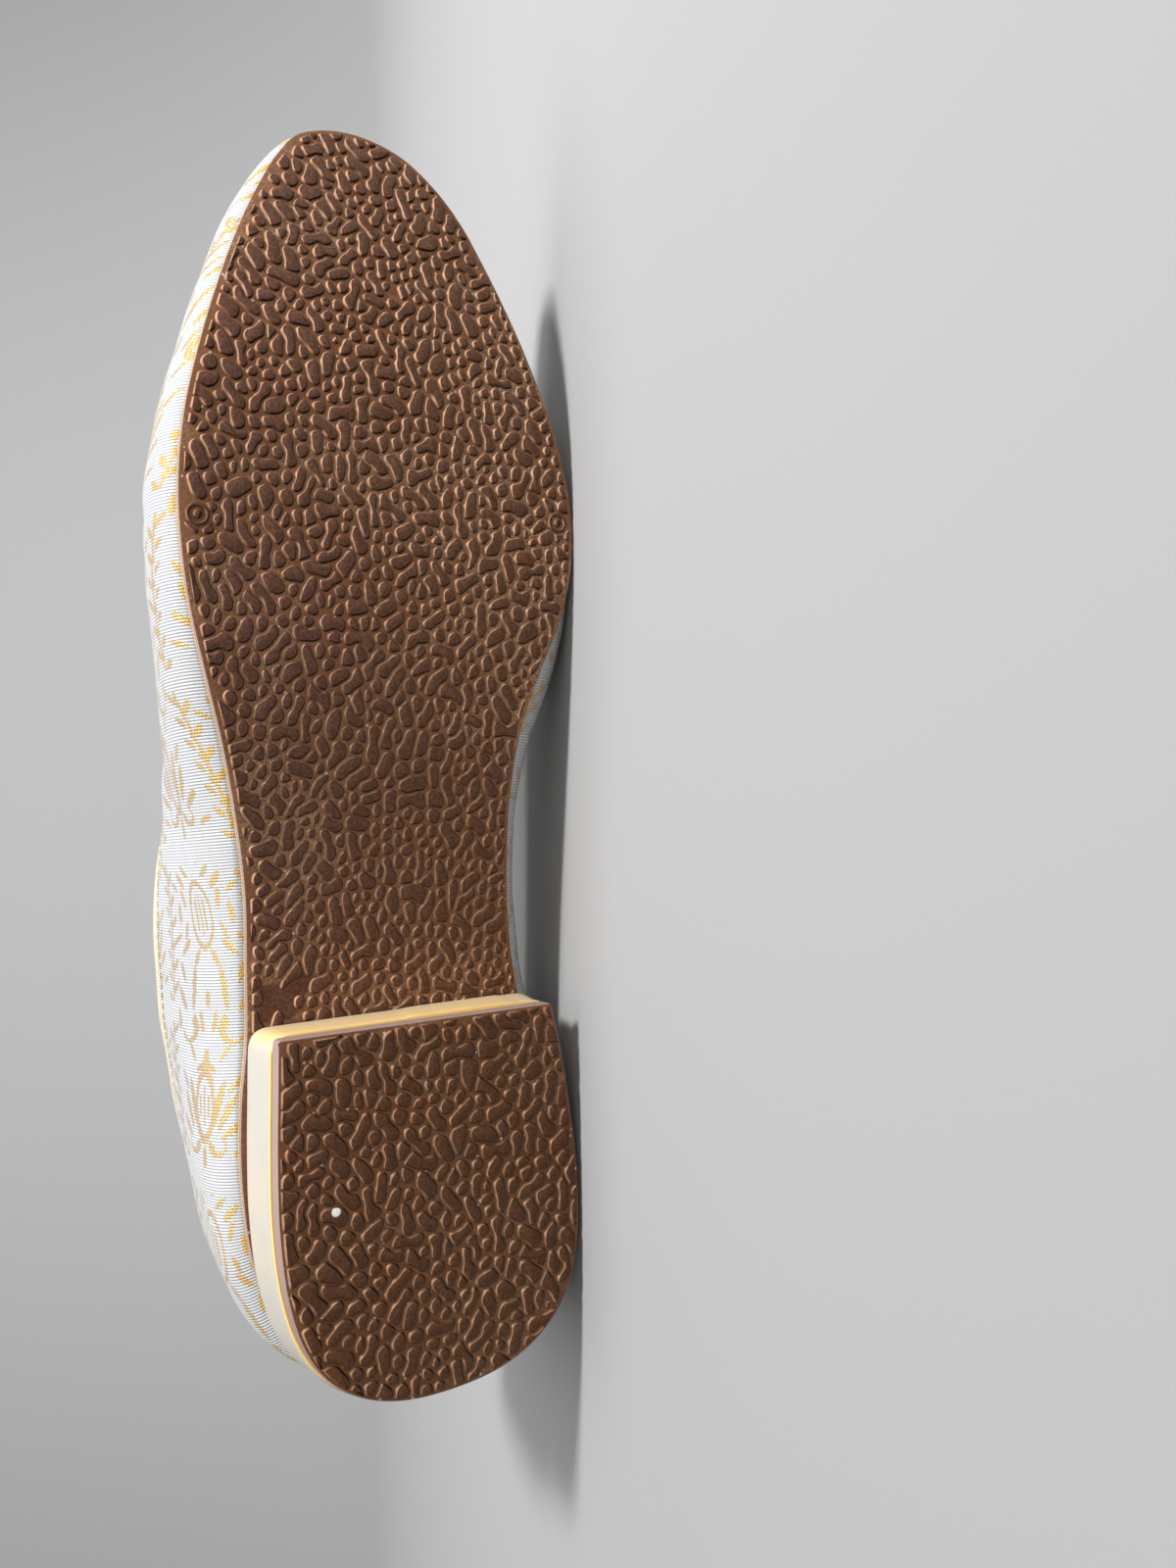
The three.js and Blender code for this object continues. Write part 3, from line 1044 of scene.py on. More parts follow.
def grain_group() -> bpy.types.NodeTree:
    """Node group for fine leather or rubber grain, with a colour patchiness.

    Returns:
        The group, whose scales count in each metre.
    """
    sheet, given, put = new_group(
        "fine_grain",
        {"Vector": (Kind.VECTOR, None), "Scale": (Kind.NUMBER, 900.0), "Patch": (Kind.NUMBER, 40.0)},
        {"Height": Kind.NUMBER, "Patches": Kind.NUMBER},
    )
    cells = sheet.node("ShaderNodeTexVoronoi")
    fine = sheet.node("ShaderNodeTexNoise")
    broad = sheet.node("ShaderNodeTexNoise")
    for node, scale in ((cells, "Scale"), (fine, "Scale"), (broad, "Patch")):
        sheet.feed(node.inputs["Vector"], given["Vector"])
        sheet.feed(node.inputs["Scale"], given[scale])
    height = sheet.wire(cells.outputs["Distance"]) * 0.6 + sheet.wire(fine.outputs[0]) * 0.6
    sheet.feed(put["Height"], height)
    sheet.feed(put["Patches"], sheet.wire(broad.outputs[0]).ramp(0.3, 0.7))
    return sheet.tree


def dust_group() -> bpy.types.NodeTree:
    """Node group for grit that lies in hollows: dust in broad patches, and single specks.

    Returns:
        The group.
    """
    patch_scale, dust_scale, speck_scale = 28.0, 1500.0, 620.0
    sheet, given, put = new_group(
        "grit",
        {"Vector": (Kind.VECTOR, None), "Hollow": (Kind.NUMBER, 1.0), "Amount": (Kind.NUMBER, 0.5)},
        {"Mask": Kind.NUMBER, "Specks": Kind.NUMBER},
    )
    broad = sheet.noise(given["Vector"], patch_scale, 3.0).ramp(0.42, 0.66)
    fine = sheet.noise(given["Vector"], dust_scale, 2.0).ramp(0.35, 0.7)
    hollow = sheet.wire(given["Hollow"])
    sheet.feed(put["Mask"], broad * fine * hollow * sheet.wire(given["Amount"]))
    dots = sheet.node("ShaderNodeTexVoronoi")
    sheet.feed(dots.inputs["Vector"], given["Vector"])
    dots.inputs["Scale"].default_value = speck_scale
    near = sheet.wire(dots.outputs["Distance"]).ramp(0.26, 0.16) * hollow
    lot, _, _ = sheet.split(dots.outputs["Color"])
    sheet.feed(put["Specks"], near * lot.ramp(0.9, 0.93))
    return sheet.tree


class Groups:
    """The node groups that the finishes share, each built once."""

    def __init__(self) -> None:
        """Builds the groups."""
        self.damask = damask_group()
        self.grain = grain_group()
        self.grit = dust_group()


@dataclass(frozen=True)
class Finish:
    """What every finish has: a name, a colour, a roughness and a way to make its material."""

    name: str
    colour: tuple[float, float, float]
    roughness: float = 0.5

    def start(self) -> tuple[bpy.types.Material, Sheet, bpy.types.Node]:
        """A material with a plain Principled shader.

        Returns:
            The material, its sheet and its shader.
        """
        material = bpy.data.materials.new(self.name)
        material.use_nodes = True
        sheet = Sheet(material.node_tree)
        shader = material.node_tree.nodes["Principled BSDF"]
        shader.inputs["Base Color"].default_value = (*self.colour, 1.0)
        shader.inputs["Roughness"].default_value = self.roughness
        return material, sheet, shader

    def place(self, sheet: Sheet) -> bpy.types.NodeSocket:
        """Object coordinates, in metres."""
        return sheet.node("ShaderNodeTexCoord").outputs["Object"]


@dataclass(frozen=True)
class BrocadeFinish(Finish):
    """Ivory satin ground with ribs across the shoe and a gold damask, with painted shade in the furrows
    between the ribs and a painted sheen on the gold near the sole.
    """

    gold: tuple[float, float, float] = (0.47, 0.35, 0.215)
    # Deep gold of the painted sheen near the sole
    painted_sheen_gold: tuple[float, float, float] = (0.7, 0.42, 0.07)
    # Painted shade in the furrows between the ribs
    furrow_shade: tuple[float, float, float] = (0.34, 0.36, 0.4)
    depth: float = 0.00022
    sheen: float = 0.15

    def material(self, groups: Groups) -> bpy.types.Material:
        """Builds the material.

        Args:
            groups: the shared node groups.

        Returns:
            The material.
        """
        material, sheet, shader = self.start()
        uv = sheet.node("ShaderNodeUVMap", uv_map="weave").outputs[0]
        weave = sheet.group(groups.damask, Vector=uv)
        ribs = sheet.wire(weave.outputs["Ribs"])
        low = sheet.attribute("low")
        patches = sheet.noise(self.place(sheet), 60.0).ramp(0.3, 0.7)
        # Painted shade: the ground is darker and bluer in the furrows between the ribs
        ground = sheet.mix(ribs, self.furrow_shade, self.colour)
        # Painted sheen: the gold is painted deeper and warmer near the sole, with random patches mixed in
        thread = sheet.mix((low + patches * 0.15).min(1.0), self.gold, self.painted_sheen_gold)
        gold = sheet.wire(weave.outputs["Gold"])
        sheet.feed(shader.inputs["Base Color"], sheet.mix(gold, ground, thread))
        sheet.feed(shader.inputs["Roughness"], gold * -0.12 + self.roughness)
        sheet.feed(shader.inputs["Metallic"], gold * 0.25)
        sheet.feed(shader.inputs["Normal"], sheet.bump(weave.outputs["Height"], self.depth))
        shader.inputs["Sheen Weight"].default_value = self.sheen
        return material


@dataclass(frozen=True)
class RubberFinish(Finish):
    """Chocolate rubber: matt pebbles with pale edges, a painted highlight, and grit in the channels between
    them.

    The colours after the rubber's own belong, in order, to the side that stands higher as the shoe lies,
    painted lighter as painted light; the channels; the edges that face the light, a painted highlight;
    the edges that turn away from it, a painted shadow; and the grit.
    """

    # Painted light: colour of the side of the tread that lies uppermost, nearest the light
    painted_light_side: tuple[float, float, float] = (0.092, 0.036, 0.027)
    hollow: tuple[float, float, float] = (0.18, 0.075, 0.034)
    rim: tuple[float, float, float] = (0.5, 0.29, 0.18)
    shadow: tuple[float, float, float] = (0.006, 0.003, 0.002)
    grit: tuple[float, float, float] = (0.55, 0.36, 0.22)
    specks: tuple[float, float, float] = (0.6, 0.46, 0.34)
    amount: float = 0.5
    fleck: tuple[float, float, float] | None = None
    fleck_colour: tuple[float, float, float] = (0.8, 0.76, 0.7)
    fleck_reach: tuple[float, float] = (0.0012, 0.0008)
    tint: tuple[float, float, float] = (1.0, 0.72, 0.55)
    shine: float = 0.3
    grain_scale: float = 1400.0
    patch_scale: float = 18.0
    depth: float = 0.0001

    def material(self, groups: Groups) -> bpy.types.Material:
        """Builds the material.

        Args:
            groups: the shared node groups.

        Returns:
            The material.
        """
        material, sheet, shader = self.start()
        place = self.place(sheet)
        relief = sheet.attribute("relief")
        glint = sheet.attribute("glint")
        _, _, height = sheet.split(place)
        grain = sheet.group(groups.grain, Vector=place, Scale=self.grain_scale, Patch=self.patch_scale)
        patches = sheet.wire(grain.outputs["Patches"])
        low = relief.ramp(0.55, 0.1)
        grit = sheet.group(groups.grit, Vector=place, Hollow=low, Amount=self.amount)
        # Painted light: the tread is painted lighter and pinker on the side that lies uppermost, mixed with
        # random patches
        side = height.ramp(0.02, 0.1) * 0.8 + patches * 0.2
        skin = sheet.mix(low, sheet.mix(side, self.colour, self.painted_light_side), self.hollow)
        speckle = sheet.wire(grain.outputs["Height"]).ramp(0.45, 0.8) * 0.1
        # Painted highlight on the edges that face the light and painted shadow on those turned away, from the
        # glint the mesh carries
        lit = sheet.mix(glint.ramp(0.1, 0.6) * (patches * 0.3 + 0.7) + speckle, skin, self.rim)
        edged = sheet.mix(glint.ramp(-0.05, -0.35), lit, self.shadow)
        dusty = sheet.mix(grit.outputs["Mask"], edged, self.grit)
        specked = sheet.mix(grit.outputs["Specks"], dusty, self.specks)
        if self.fleck:
            away = sheet.node("ShaderNodeVectorMath", operation="DISTANCE")
            sheet.feed(away.inputs[0], place)
            away.inputs[1].default_value = self.fleck
            spot = sheet.wire(away.outputs["Value"]).ramp(*self.fleck_reach)
            specked = sheet.mix(spot, specked, self.fleck_colour)
        sheet.feed(shader.inputs["Base Color"], specked)
        sheet.feed(shader.inputs["Roughness"], patches * 0.08 + low * 0.12 + self.roughness)
        sheet.feed(shader.inputs["Normal"], sheet.bump(grain.outputs["Height"], self.depth))
        shader.inputs["Specular Tint"].default_value = (*self.tint, 1.0)
        shader.inputs["Specular IOR Level"].default_value = self.shine
        return material


@dataclass(frozen=True)
class CoverFinish(Finish):
    """The thin strip round the heel: smooth, faintly grained and yellower in its hollows."""

    shade: tuple[float, float, float] = (0.96, 0.62, 0.2)
    grain_scale: float = 1700.0
    patch_scale: float = 45.0
    depth: float = 0.00003

    def material(self, groups: Groups) -> bpy.types.Material:
        """Builds the material.

        Args:
            groups: the shared node groups.

        Returns:
            The material.
        """
        material, sheet, shader = self.start()
        place = self.place(sheet)
        shade = sheet.attribute("shade")
        grain = sheet.group(groups.grain, Vector=place, Scale=self.grain_scale, Patch=self.patch_scale)
        patch = sheet.wire(grain.outputs["Patches"]) * 0.12
        share = shade + patch
        sheet.feed(shader.inputs["Base Color"], sheet.mix(share.min(1.0), self.colour, self.shade))
        sheet.feed(shader.inputs["Roughness"], patch + self.roughness)
        sheet.feed(shader.inputs["Normal"], sheet.bump(grain.outputs["Height"], self.depth))
        return material


@dataclass(frozen=True)
class LeatherFinish(Finish):
    """Soft lining leather."""

    dark: tuple[float, float, float] = (0.42, 0.3, 0.17)
    grain_scale: float = 1100.0
    patch_scale: float = 35.0
    depth: float = 0.00006

    def material(self, groups: Groups) -> bpy.types.Material:
        """Builds the material.

        Args:
            groups: the shared node groups.

        Returns:
            The material.
        """
        material, sheet, shader = self.start()
        place = self.place(sheet)
        grain = sheet.group(groups.grain, Vector=place, Scale=self.grain_scale, Patch=self.patch_scale)
        patches = sheet.wire(grain.outputs["Patches"])
        sheet.feed(shader.inputs["Base Color"], sheet.mix(patches * 0.4, self.colour, self.dark))
        sheet.feed(shader.inputs["Roughness"], patches * 0.1 + self.roughness)
        sheet.feed(shader.inputs["Normal"], sheet.bump(grain.outputs["Height"], self.depth))
        return material


@dataclass(frozen=True)
class ThreadFinish(Finish):
    """Twisted thread or cord, with slanting strands along its own length."""

    dark: tuple[float, float, float] = (0.45, 0.27, 0.07)
    strands: float = 1.1
    depth: float = 0.0002

    def material(self, groups: Groups) -> bpy.types.Material:
        """Builds the material.

        Args:
            groups: the shared node groups.

        Returns:
            The material.
        """
        material, sheet, shader = self.start()
        along, across, _ = sheet.split(sheet.node("ShaderNodeUVMap", uv_map="weave").outputs[0])
        slant = along + across
        strand = ((slant * self.strands).mod(1) - 0.5).abs().ramp(0.5, 0.12)
        patches = sheet.noise(self.place(sheet), 180.0)
        tone = sheet.mix(strand * 0.75 + patches * 0.25, self.dark, self.colour)
        sheet.feed(shader.inputs["Base Color"], tone)
        sheet.feed(shader.inputs["Normal"], sheet.bump(strand, self.depth))
        return material


class Palette:
    """The finishes of the shoe, each made once."""

    def __init__(self) -> None:
        """Builds the node groups and the materials."""
        groups = Groups()
        self.brocade = BrocadeFinish("brocade_gold_on_ivory", (0.62, 0.615, 0.6), 0.5).material(groups)
        self.sole = RubberFinish("sole_chocolate_rubber", (0.076, 0.029, 0.012), 0.4).material(groups)
        self.lift = RubberFinish(
            "lift_chocolate_rubber",
            (0.066, 0.024, 0.009),
            0.4,
            # The lift's painted light on its uppermost side, its channels and its painted highlight
            painted_light_side=(0.078, 0.028, 0.014),
            hollow=(0.14, 0.056, 0.023),
            rim=(0.36, 0.2, 0.12),
            amount=0.3,
            fleck=FLECK,
        ).material(groups)
        self.edge = LeatherFinish(
            "sole_edge_band", (0.36, 0.25, 0.22), 0.5, dark=(0.22, 0.14, 0.12), depth=0.00003
        ).material(groups)
        self.cover = CoverFinish("heel_cover_cream", (0.5, 0.48, 0.43), 0.42).material(groups)
        self.lining = LeatherFinish("lining_tan_leather", (0.6, 0.46, 0.29), 0.6).material(groups)
        self.sock = LeatherFinish("sock_tan_leather", (0.55, 0.41, 0.24), 0.5).material(groups)
        self.piping = ThreadFinish(
            "collar_cream_binding", (0.88, 0.82, 0.66), 0.5, dark=(0.7, 0.6, 0.4), strands=1.4
        ).material(groups)
        self.cord = ThreadFinish("feather_gold_cord", (0.8, 0.56, 0.18), 0.45).material(groups)
        self.stitch = ThreadFinish(
            "stitch_gold_thread", (0.85, 0.68, 0.36), 0.5, strands=2.0
        ).material(groups)


@dataclass
class Pebbles:
    """The raised pebbles of a tread, cast in one with it.

    Lengths are in millimetres. The pebbles are the cells between scattered points, some of them run
    together in pairs, drawn in from their borders and rounded.
    """

    outline: np.ndarray
    height_of: Surface
    seed: int
    spacing: tuple[float, float] = (1.9, 3.3)
    stretch: float = 1.12
    channel: float = 0.26
    relief: float = 0.65
    joined: float = 0.2
    rounds: int = 5
    # Each shoulder's width and its share of the height, from the channel up
    shoulders: Table = ((0.25, 0.62), (0.1, 0.24), (0.12, 0.14))
    # Plain places: x, y and radius; and the middles of moulding marks, with the room they are given
    bare: Table = ()
    rings: Table = ()
    clear: float = 2.9
    from_x: float = -10.0
    sunk: float = 0.08
    # Direction of the painted light: edges that face it get the painted highlight, edges turned away the
    # painted shadow
    painted_light_from: tuple[float, float, float] = (0.38, -0.92, 0.0)
    # Inner and outer radius of the parts of a moulding mark
    mark: Table = ((0.0, 1.0), (1.8, 2.5))
    mark_steps: int = 28
    # Sizes that a pebble is kept within
    widest: float = 5.0
    least_border: float = 1.1
    largest_pair: float = 36.0
    longest_edge: float = 0.95
    least_girth: float = 0.34

    def scatter(self) -> np.ndarray:
        """Points strewn at uneven distances over the outline and a margin round it.

        Returns:
            The points in plan.
        """
        rng = random.Random(self.seed)
        margin = 9.0
        bin_size = 4.0
        tries = 3.2
        low = self.outline.min(0) - margin
        high = self.outline.max(0) + margin
        low[0] = max(low[0], self.from_x - margin)
        bins: dict[tuple[int, int], list[tuple[float, float, float]]] = {}
        chosen = []
        area = (high[0] - low[0]) * (high[1] - low[1]) / self.stretch
        for _ in range(int(area * tries)):
            x = rng.uniform(low[0], high[0]) / self.stretch
            y = rng.uniform(low[1], high[1])
            reach = self.spacing[0] + (self.spacing[1] - self.spacing[0]) * rng.random() ** 0.8
            i, j = int(x // bin_size), int(y // bin_size)
            near = (p for a in (-1, 0, 1) for b in (-1, 0, 1) for p in bins.get((i + a, j + b), ()))
            if all(math.hypot(x - px, y - py) > (reach + pr) / 2 for px, py, pr in near):
                bins.setdefault((i, j), []).append((x, y, reach))
                chosen.append((x * self.stretch, y))
        return np.array(chosen)

    def cells(self) -> bmesh.types.BMesh:
        """The cells round the scattered points.

        Returns:
            Flat faces that share their borders.
        """
        margin = 4
        sites = self.scatter()
        flat = [Vector((x / self.stretch, y)) for x, y in sites]
        corners, _, triangles, *_ = delaunay_2d_cdt(flat, [], [], 0, 1e-6)
        centres = []
        fans: dict[int, list[int]] = {}
        for k, (a, b, c) in enumerate(triangles):
            centres.append(self.circumcentre(corners[a], corners[b], corners[c]))
            for corner in (a, b, c):
                fans.setdefault(corner, []).append(k)
        bm = bmesh.new()
        verts = [bm.verts.new((x * self.stretch, y, 0)) for x, y in centres]
        for corner, fan in fans.items():
            site = corners[corner]
            x = site.x * self.stretch
            along = self.outline[:, 0].min() - margin < x < self.outline[:, 0].max() + margin
            across = abs(site.y) <= np.abs(self.outline[:, 1]).max() + margin
            small = all(math.dist(centres[k], site) <= self.widest for k in fan)
            if len(fan) < 4 or x < self.from_x or not (along and across and small):
                continue
            around = sorted(fan, key=lambda k: math.atan2(centres[k][1] - site.y, centres[k][0] - site.x))
            bm.faces.new([verts[k] for k in around])
        self.drop_loose(bm)
        return bm

    @staticmethod
    def drop_loose(bm: bmesh.types.BMesh) -> None:
        """Deletes the points that belong to no face."""
        bmesh.ops.delete(bm, geom=[vert for vert in bm.verts if not vert.link_faces], context="VERTS")

    @staticmethod
    def circumcentre(a: Vector, b: Vector, c: Vector) -> tuple[float, float]:
        """The point as far from each of three points.

        Args:
            a: the first point.
            b: the second point.
            c: the third point.

        Returns:
            Its place.
        """
        ab, ac = b - a, c - a
        double = 2 * (ab.x * ac.y - ab.y * ac.x)
        if abs(double) < 1e-9:
            return tuple((a + b + c) / 3)
        x = (ac.y * ab.length_squared - ab.y * ac.length_squared) / double
        y = (ab.x * ac.length_squared - ac.x * ab.length_squared) / double
        return a.x + x, a.y + y

    def join_some(self, bm: bmesh.types.BMesh) -> None:
        """Runs some neighbours together into beans, bars and crooks.

        Args:
            bm: the cells.
        """
        rng = random.Random(self.seed + 1)
        used: set = set()
        borders = []
        for edge in bm.edges:
            if len(edge.link_faces) == 2 and edge.calc_length() > self.least_border:
                pair = {face.index for face in edge.link_faces}
                small = sum(face.calc_area() for face in edge.link_faces) < self.largest_pair
                if small and not pair & used and rng.random() < self.joined:
                    used |= pair
                    borders.append(edge)
        bmesh.ops.dissolve_edges(bm, edges=borders, use_verts=False, use_face_split=False)

    def islands(self) -> bmesh.types.BMesh:
        """Separate flat pebbles with rounded outlines, cut off at the outline of the tread.

        Returns:
            The pebbles, one face each.
        """
        bm = self.cells()
        merge(bm, 0.45)
        bm.faces.index_update()
        self.join_some(bm)
        bmesh.ops.split_edges(bm, edges=bm.edges[:])
        rim = bmesh.ops.inset_individual(bm, faces=bm.faces[:], thickness=self.channel / 2, depth=0)
        bmesh.ops.delete(bm, geom=rim["faces"], context="FACES")
        for _ in range(3):
            long = [edge for edge in bm.edges if edge.calc_length() > self.longest_edge]
            if long:
                bmesh.ops.subdivide_edges(bm, edges=long, cuts=1)
        for _ in range(self.rounds):
            bmesh.ops.smooth_vert(
                bm, verts=bm.verts[:], factor=0.5, use_axis_x=True, use_axis_y=True, use_axis_z=True
            )
        self.trim(bm)
        return bm

    def trim(self, bm: bmesh.types.BMesh) -> None:
        """Cuts the pebbles off at the outline and drops what is too small or in a bare place.

        Args:
            bm: the flat pebbles.
        """
        passes, slack, stray_reach = 4, 0.03, 0.2
        empty = [*self.bare, *((x, y, self.clear - 0.3) for x, y in self.rings)]
        drop = []
        for face in bm.faces:
            centre = face.calc_center_median()
            if any(math.hypot(centre.x - x, centre.y - y) < reach for x, y, reach in empty):
                drop.append(face)
        bmesh.ops.delete(bm, geom=drop, context="FACES")
        self.cut_round_rings(bm)
        for attempt in range(passes):
            bm.verts.index_update()
            points = np.array([vert.co[:2] for vert in bm.verts])
            inside, nearest = self.against_outline(points)
            over = np.where(inside, 0, np.linalg.norm(points - nearest, axis=1))
            if attempt == passes - 1:
                stray = [
                    face for face in bm.faces if max(over[vert.index] for vert in face.verts) > stray_reach
                ]
                bmesh.ops.delete(bm, geom=stray, context="FACES")
                break
            cuts = []
            for face in bm.faces:
                far = max((vert.index for vert in face.verts), key=lambda i: over[i])
                if over[far] > slack:
                    cuts.append((face, nearest[far], points[far] - nearest[far]))
            for face, foot, way in cuts:
                if face.is_valid:
                    self.cut(bm, face, (*foot, 0), (*way, 0))
        bmesh.ops.dissolve_degenerate(bm, edges=bm.edges[:], dist=0.25)
        slim = [face for face in bm.faces if face.calc_area() < self.least_girth * face.calc_perimeter()]
        bmesh.ops.delete(bm, geom=slim, context="FACES")
        self.drop_loose(bm)

    @staticmethod
    def cut(
        bm: bmesh.types.BMesh, face: bmesh.types.BMFace, place: Sequence[float], way: Sequence[float]
    ) -> None:
        """Cuts one pebble and drops what lies beyond the cut.

        Args:
            bm: the flat pebbles.
            face: the pebble.
            place: a point of the cut.
            way: the direction of the side that goes.
        """
        bmesh.ops.bisect_plane(
            bm, geom=[face, *face.edges, *face.verts], plane_co=place, plane_no=way, clear_outer=True
        )

    def cut_round_rings(self, bm: bmesh.types.BMesh) -> None:
        """Cuts the pebbles off where they come too near a moulding mark.

        Args:
            bm: the flat pebbles.
        """
        for x, y in self.rings:
            middle = Vector((x, y, 0))
            for face in bm.faces[:]:
                way = face.calc_center_median() - middle
                near = min((vert.co - middle).length for vert in face.verts)
                if near < self.clear and way.length < 3 * self.clear:
                    way.normalize()
                    self.cut(bm, face, middle + way * self.clear, -way)

    def against_outline(self, points: np.ndarray) -> tuple[np.ndarray, np.ndarray]:
        """Which points are inside the outline, and the nearest place on it to each.

        Args:
            points: places in plan.

        Returns:
            A mask and the nearest places.
        """
        batch = 2000
        a = self.outline
        b = np.roll(a, -1, axis=0)
        run = b - a
        inside = np.zeros(len(points), bool)
        nearest = np.zeros_like(points)
        for start in range(0, len(points), batch):
            some = slice(start, start + batch)
            p = points[some, None, :]
            share = np.clip(((p - a) * run).sum(-1) / (run**2).sum(-1), 0, 1)
            close = a + run * share[..., None]
            best = ((p - close) ** 2).sum(-1).argmin(1)
            nearest[some] = close[np.arange(len(best)), best]
            crosses = (a[:, 1] > p[..., 1]) != (b[:, 1] > p[..., 1])
            with np.errstate(divide="ignore", invalid="ignore"):
                at = a[:, 0] + (p[..., 1] - a[:, 1]) * run[:, 0] / run[:, 1]
            inside[some] = (crosses & (p[..., 0] < at)).sum(1) % 2 == 1
        return inside, nearest

    def raise_up(self, bm: bmesh.types.BMesh) -> None:
        """Gives the flat pebbles steep sides, a round shoulder and a bottom.

        Args:
            bm: the flat pebbles.
        """
        face_up(bm.faces)
        bm.normal_update()
        tops = bm.faces[:]
        under = bmesh.ops.duplicate(bm, geom=tops)
        base = [item for item in under["geom"] if isinstance(item, bmesh.types.BMFace)]
        bmesh.ops.reverse_faces(bm, faces=base)
        spots = [(face, face.calc_center_median().xy) for face in tops]
        reach = [max((vert.co.xy - spot).length for vert in face.verts) for face, spot in spots]
        sunk = self.sunk
        for thickness, share in self.shoulders:
            depth = sunk + share * self.relief
            bmesh.ops.inset_individual(bm, faces=tops, thickness=thickness, depth=depth)
            sunk = 0.0
            for (face, spot), far in zip(spots, reach):
                for vert in face.verts:
                    off = vert.co.xy - spot
                    if off.length > far:
                        # An inset can throw a point out of a narrow corner
                        vert.co.xy = spot + off.normalized() * far * 0.7
        merge(bm, 0.001)

    def add_rings(self, bm: bmesh.types.BMesh) -> None:
        """Adds the round moulding marks: a ring about a button.

        Args:
            bm: the pebbles.
        """
        for x, y in self.rings:
            spot = Matrix.Translation((x, y, 0))
            for inner, outer in self.mark:
                made = bmesh.ops.create_circle(
                    bm, cap_ends=True, segments=self.mark_steps, radius=outer, matrix=spot
                )
                disc = list(dict.fromkeys(face for vert in made["verts"] for face in vert.link_faces))
                face_up(disc)
                if inner:
                    hole = bmesh.ops.inset_individual(bm, faces=disc, thickness=outer - inner, depth=0)
                    bmesh.ops.delete(bm, geom=disc, context="FACES")
                    disc = hole["faces"]
                lifted = bmesh.ops.extrude_face_region(bm, geom=disc, use_keep_orig=True)
                tops = [item for item in lifted["geom"] if isinstance(item, bmesh.types.BMVert)]
                bmesh.ops.translate(bm, verts=tops, vec=(0, 0, self.sunk + self.relief * 0.9))

    def build(self, bm: bmesh.types.BMesh) -> int:
        """Adds the pebbles to a tread.

        Args:
            bm: the tread's mesh, which has a number layer for relief.

        Returns:
            How many pebbles there are.
        """
        flat = self.islands()
        count = len(flat.faces)
        self.raise_up(flat)
        self.add_rings(flat)
        layer = flat.verts.layers.float.new("relief")
        points = np.array([vert.co[:] for vert in flat.verts])
        tread = self.height_of(points[:, 0], points[:, 1])
        full = self.sunk + self.relief
        for vert, z in zip(flat.verts, tread):
            vert[layer] = max(0.0, min(1.0, (vert.co.z - self.sunk) / self.relief))
            vert.co.z = z + full - vert.co.z
        face_outwards(flat)
        flat.normal_update()
        # Painted light: how far each point faces the light, kept small on the tops
        glint = flat.verts.layers.float.new("glint")
        way = Vector(self.painted_light_from)
        on_top = 0.12
        for vert in flat.verts:
            share = on_top if vert[layer] > 0.99 else 1.0
            vert[glint] = vert.normal.dot(way) * share
        spare = bpy.data.meshes.new("pebbles")
        flat.to_mesh(spare)
        flat.free()
        bm.from_mesh(spare)
        bpy.data.meshes.remove(spare)
        return count


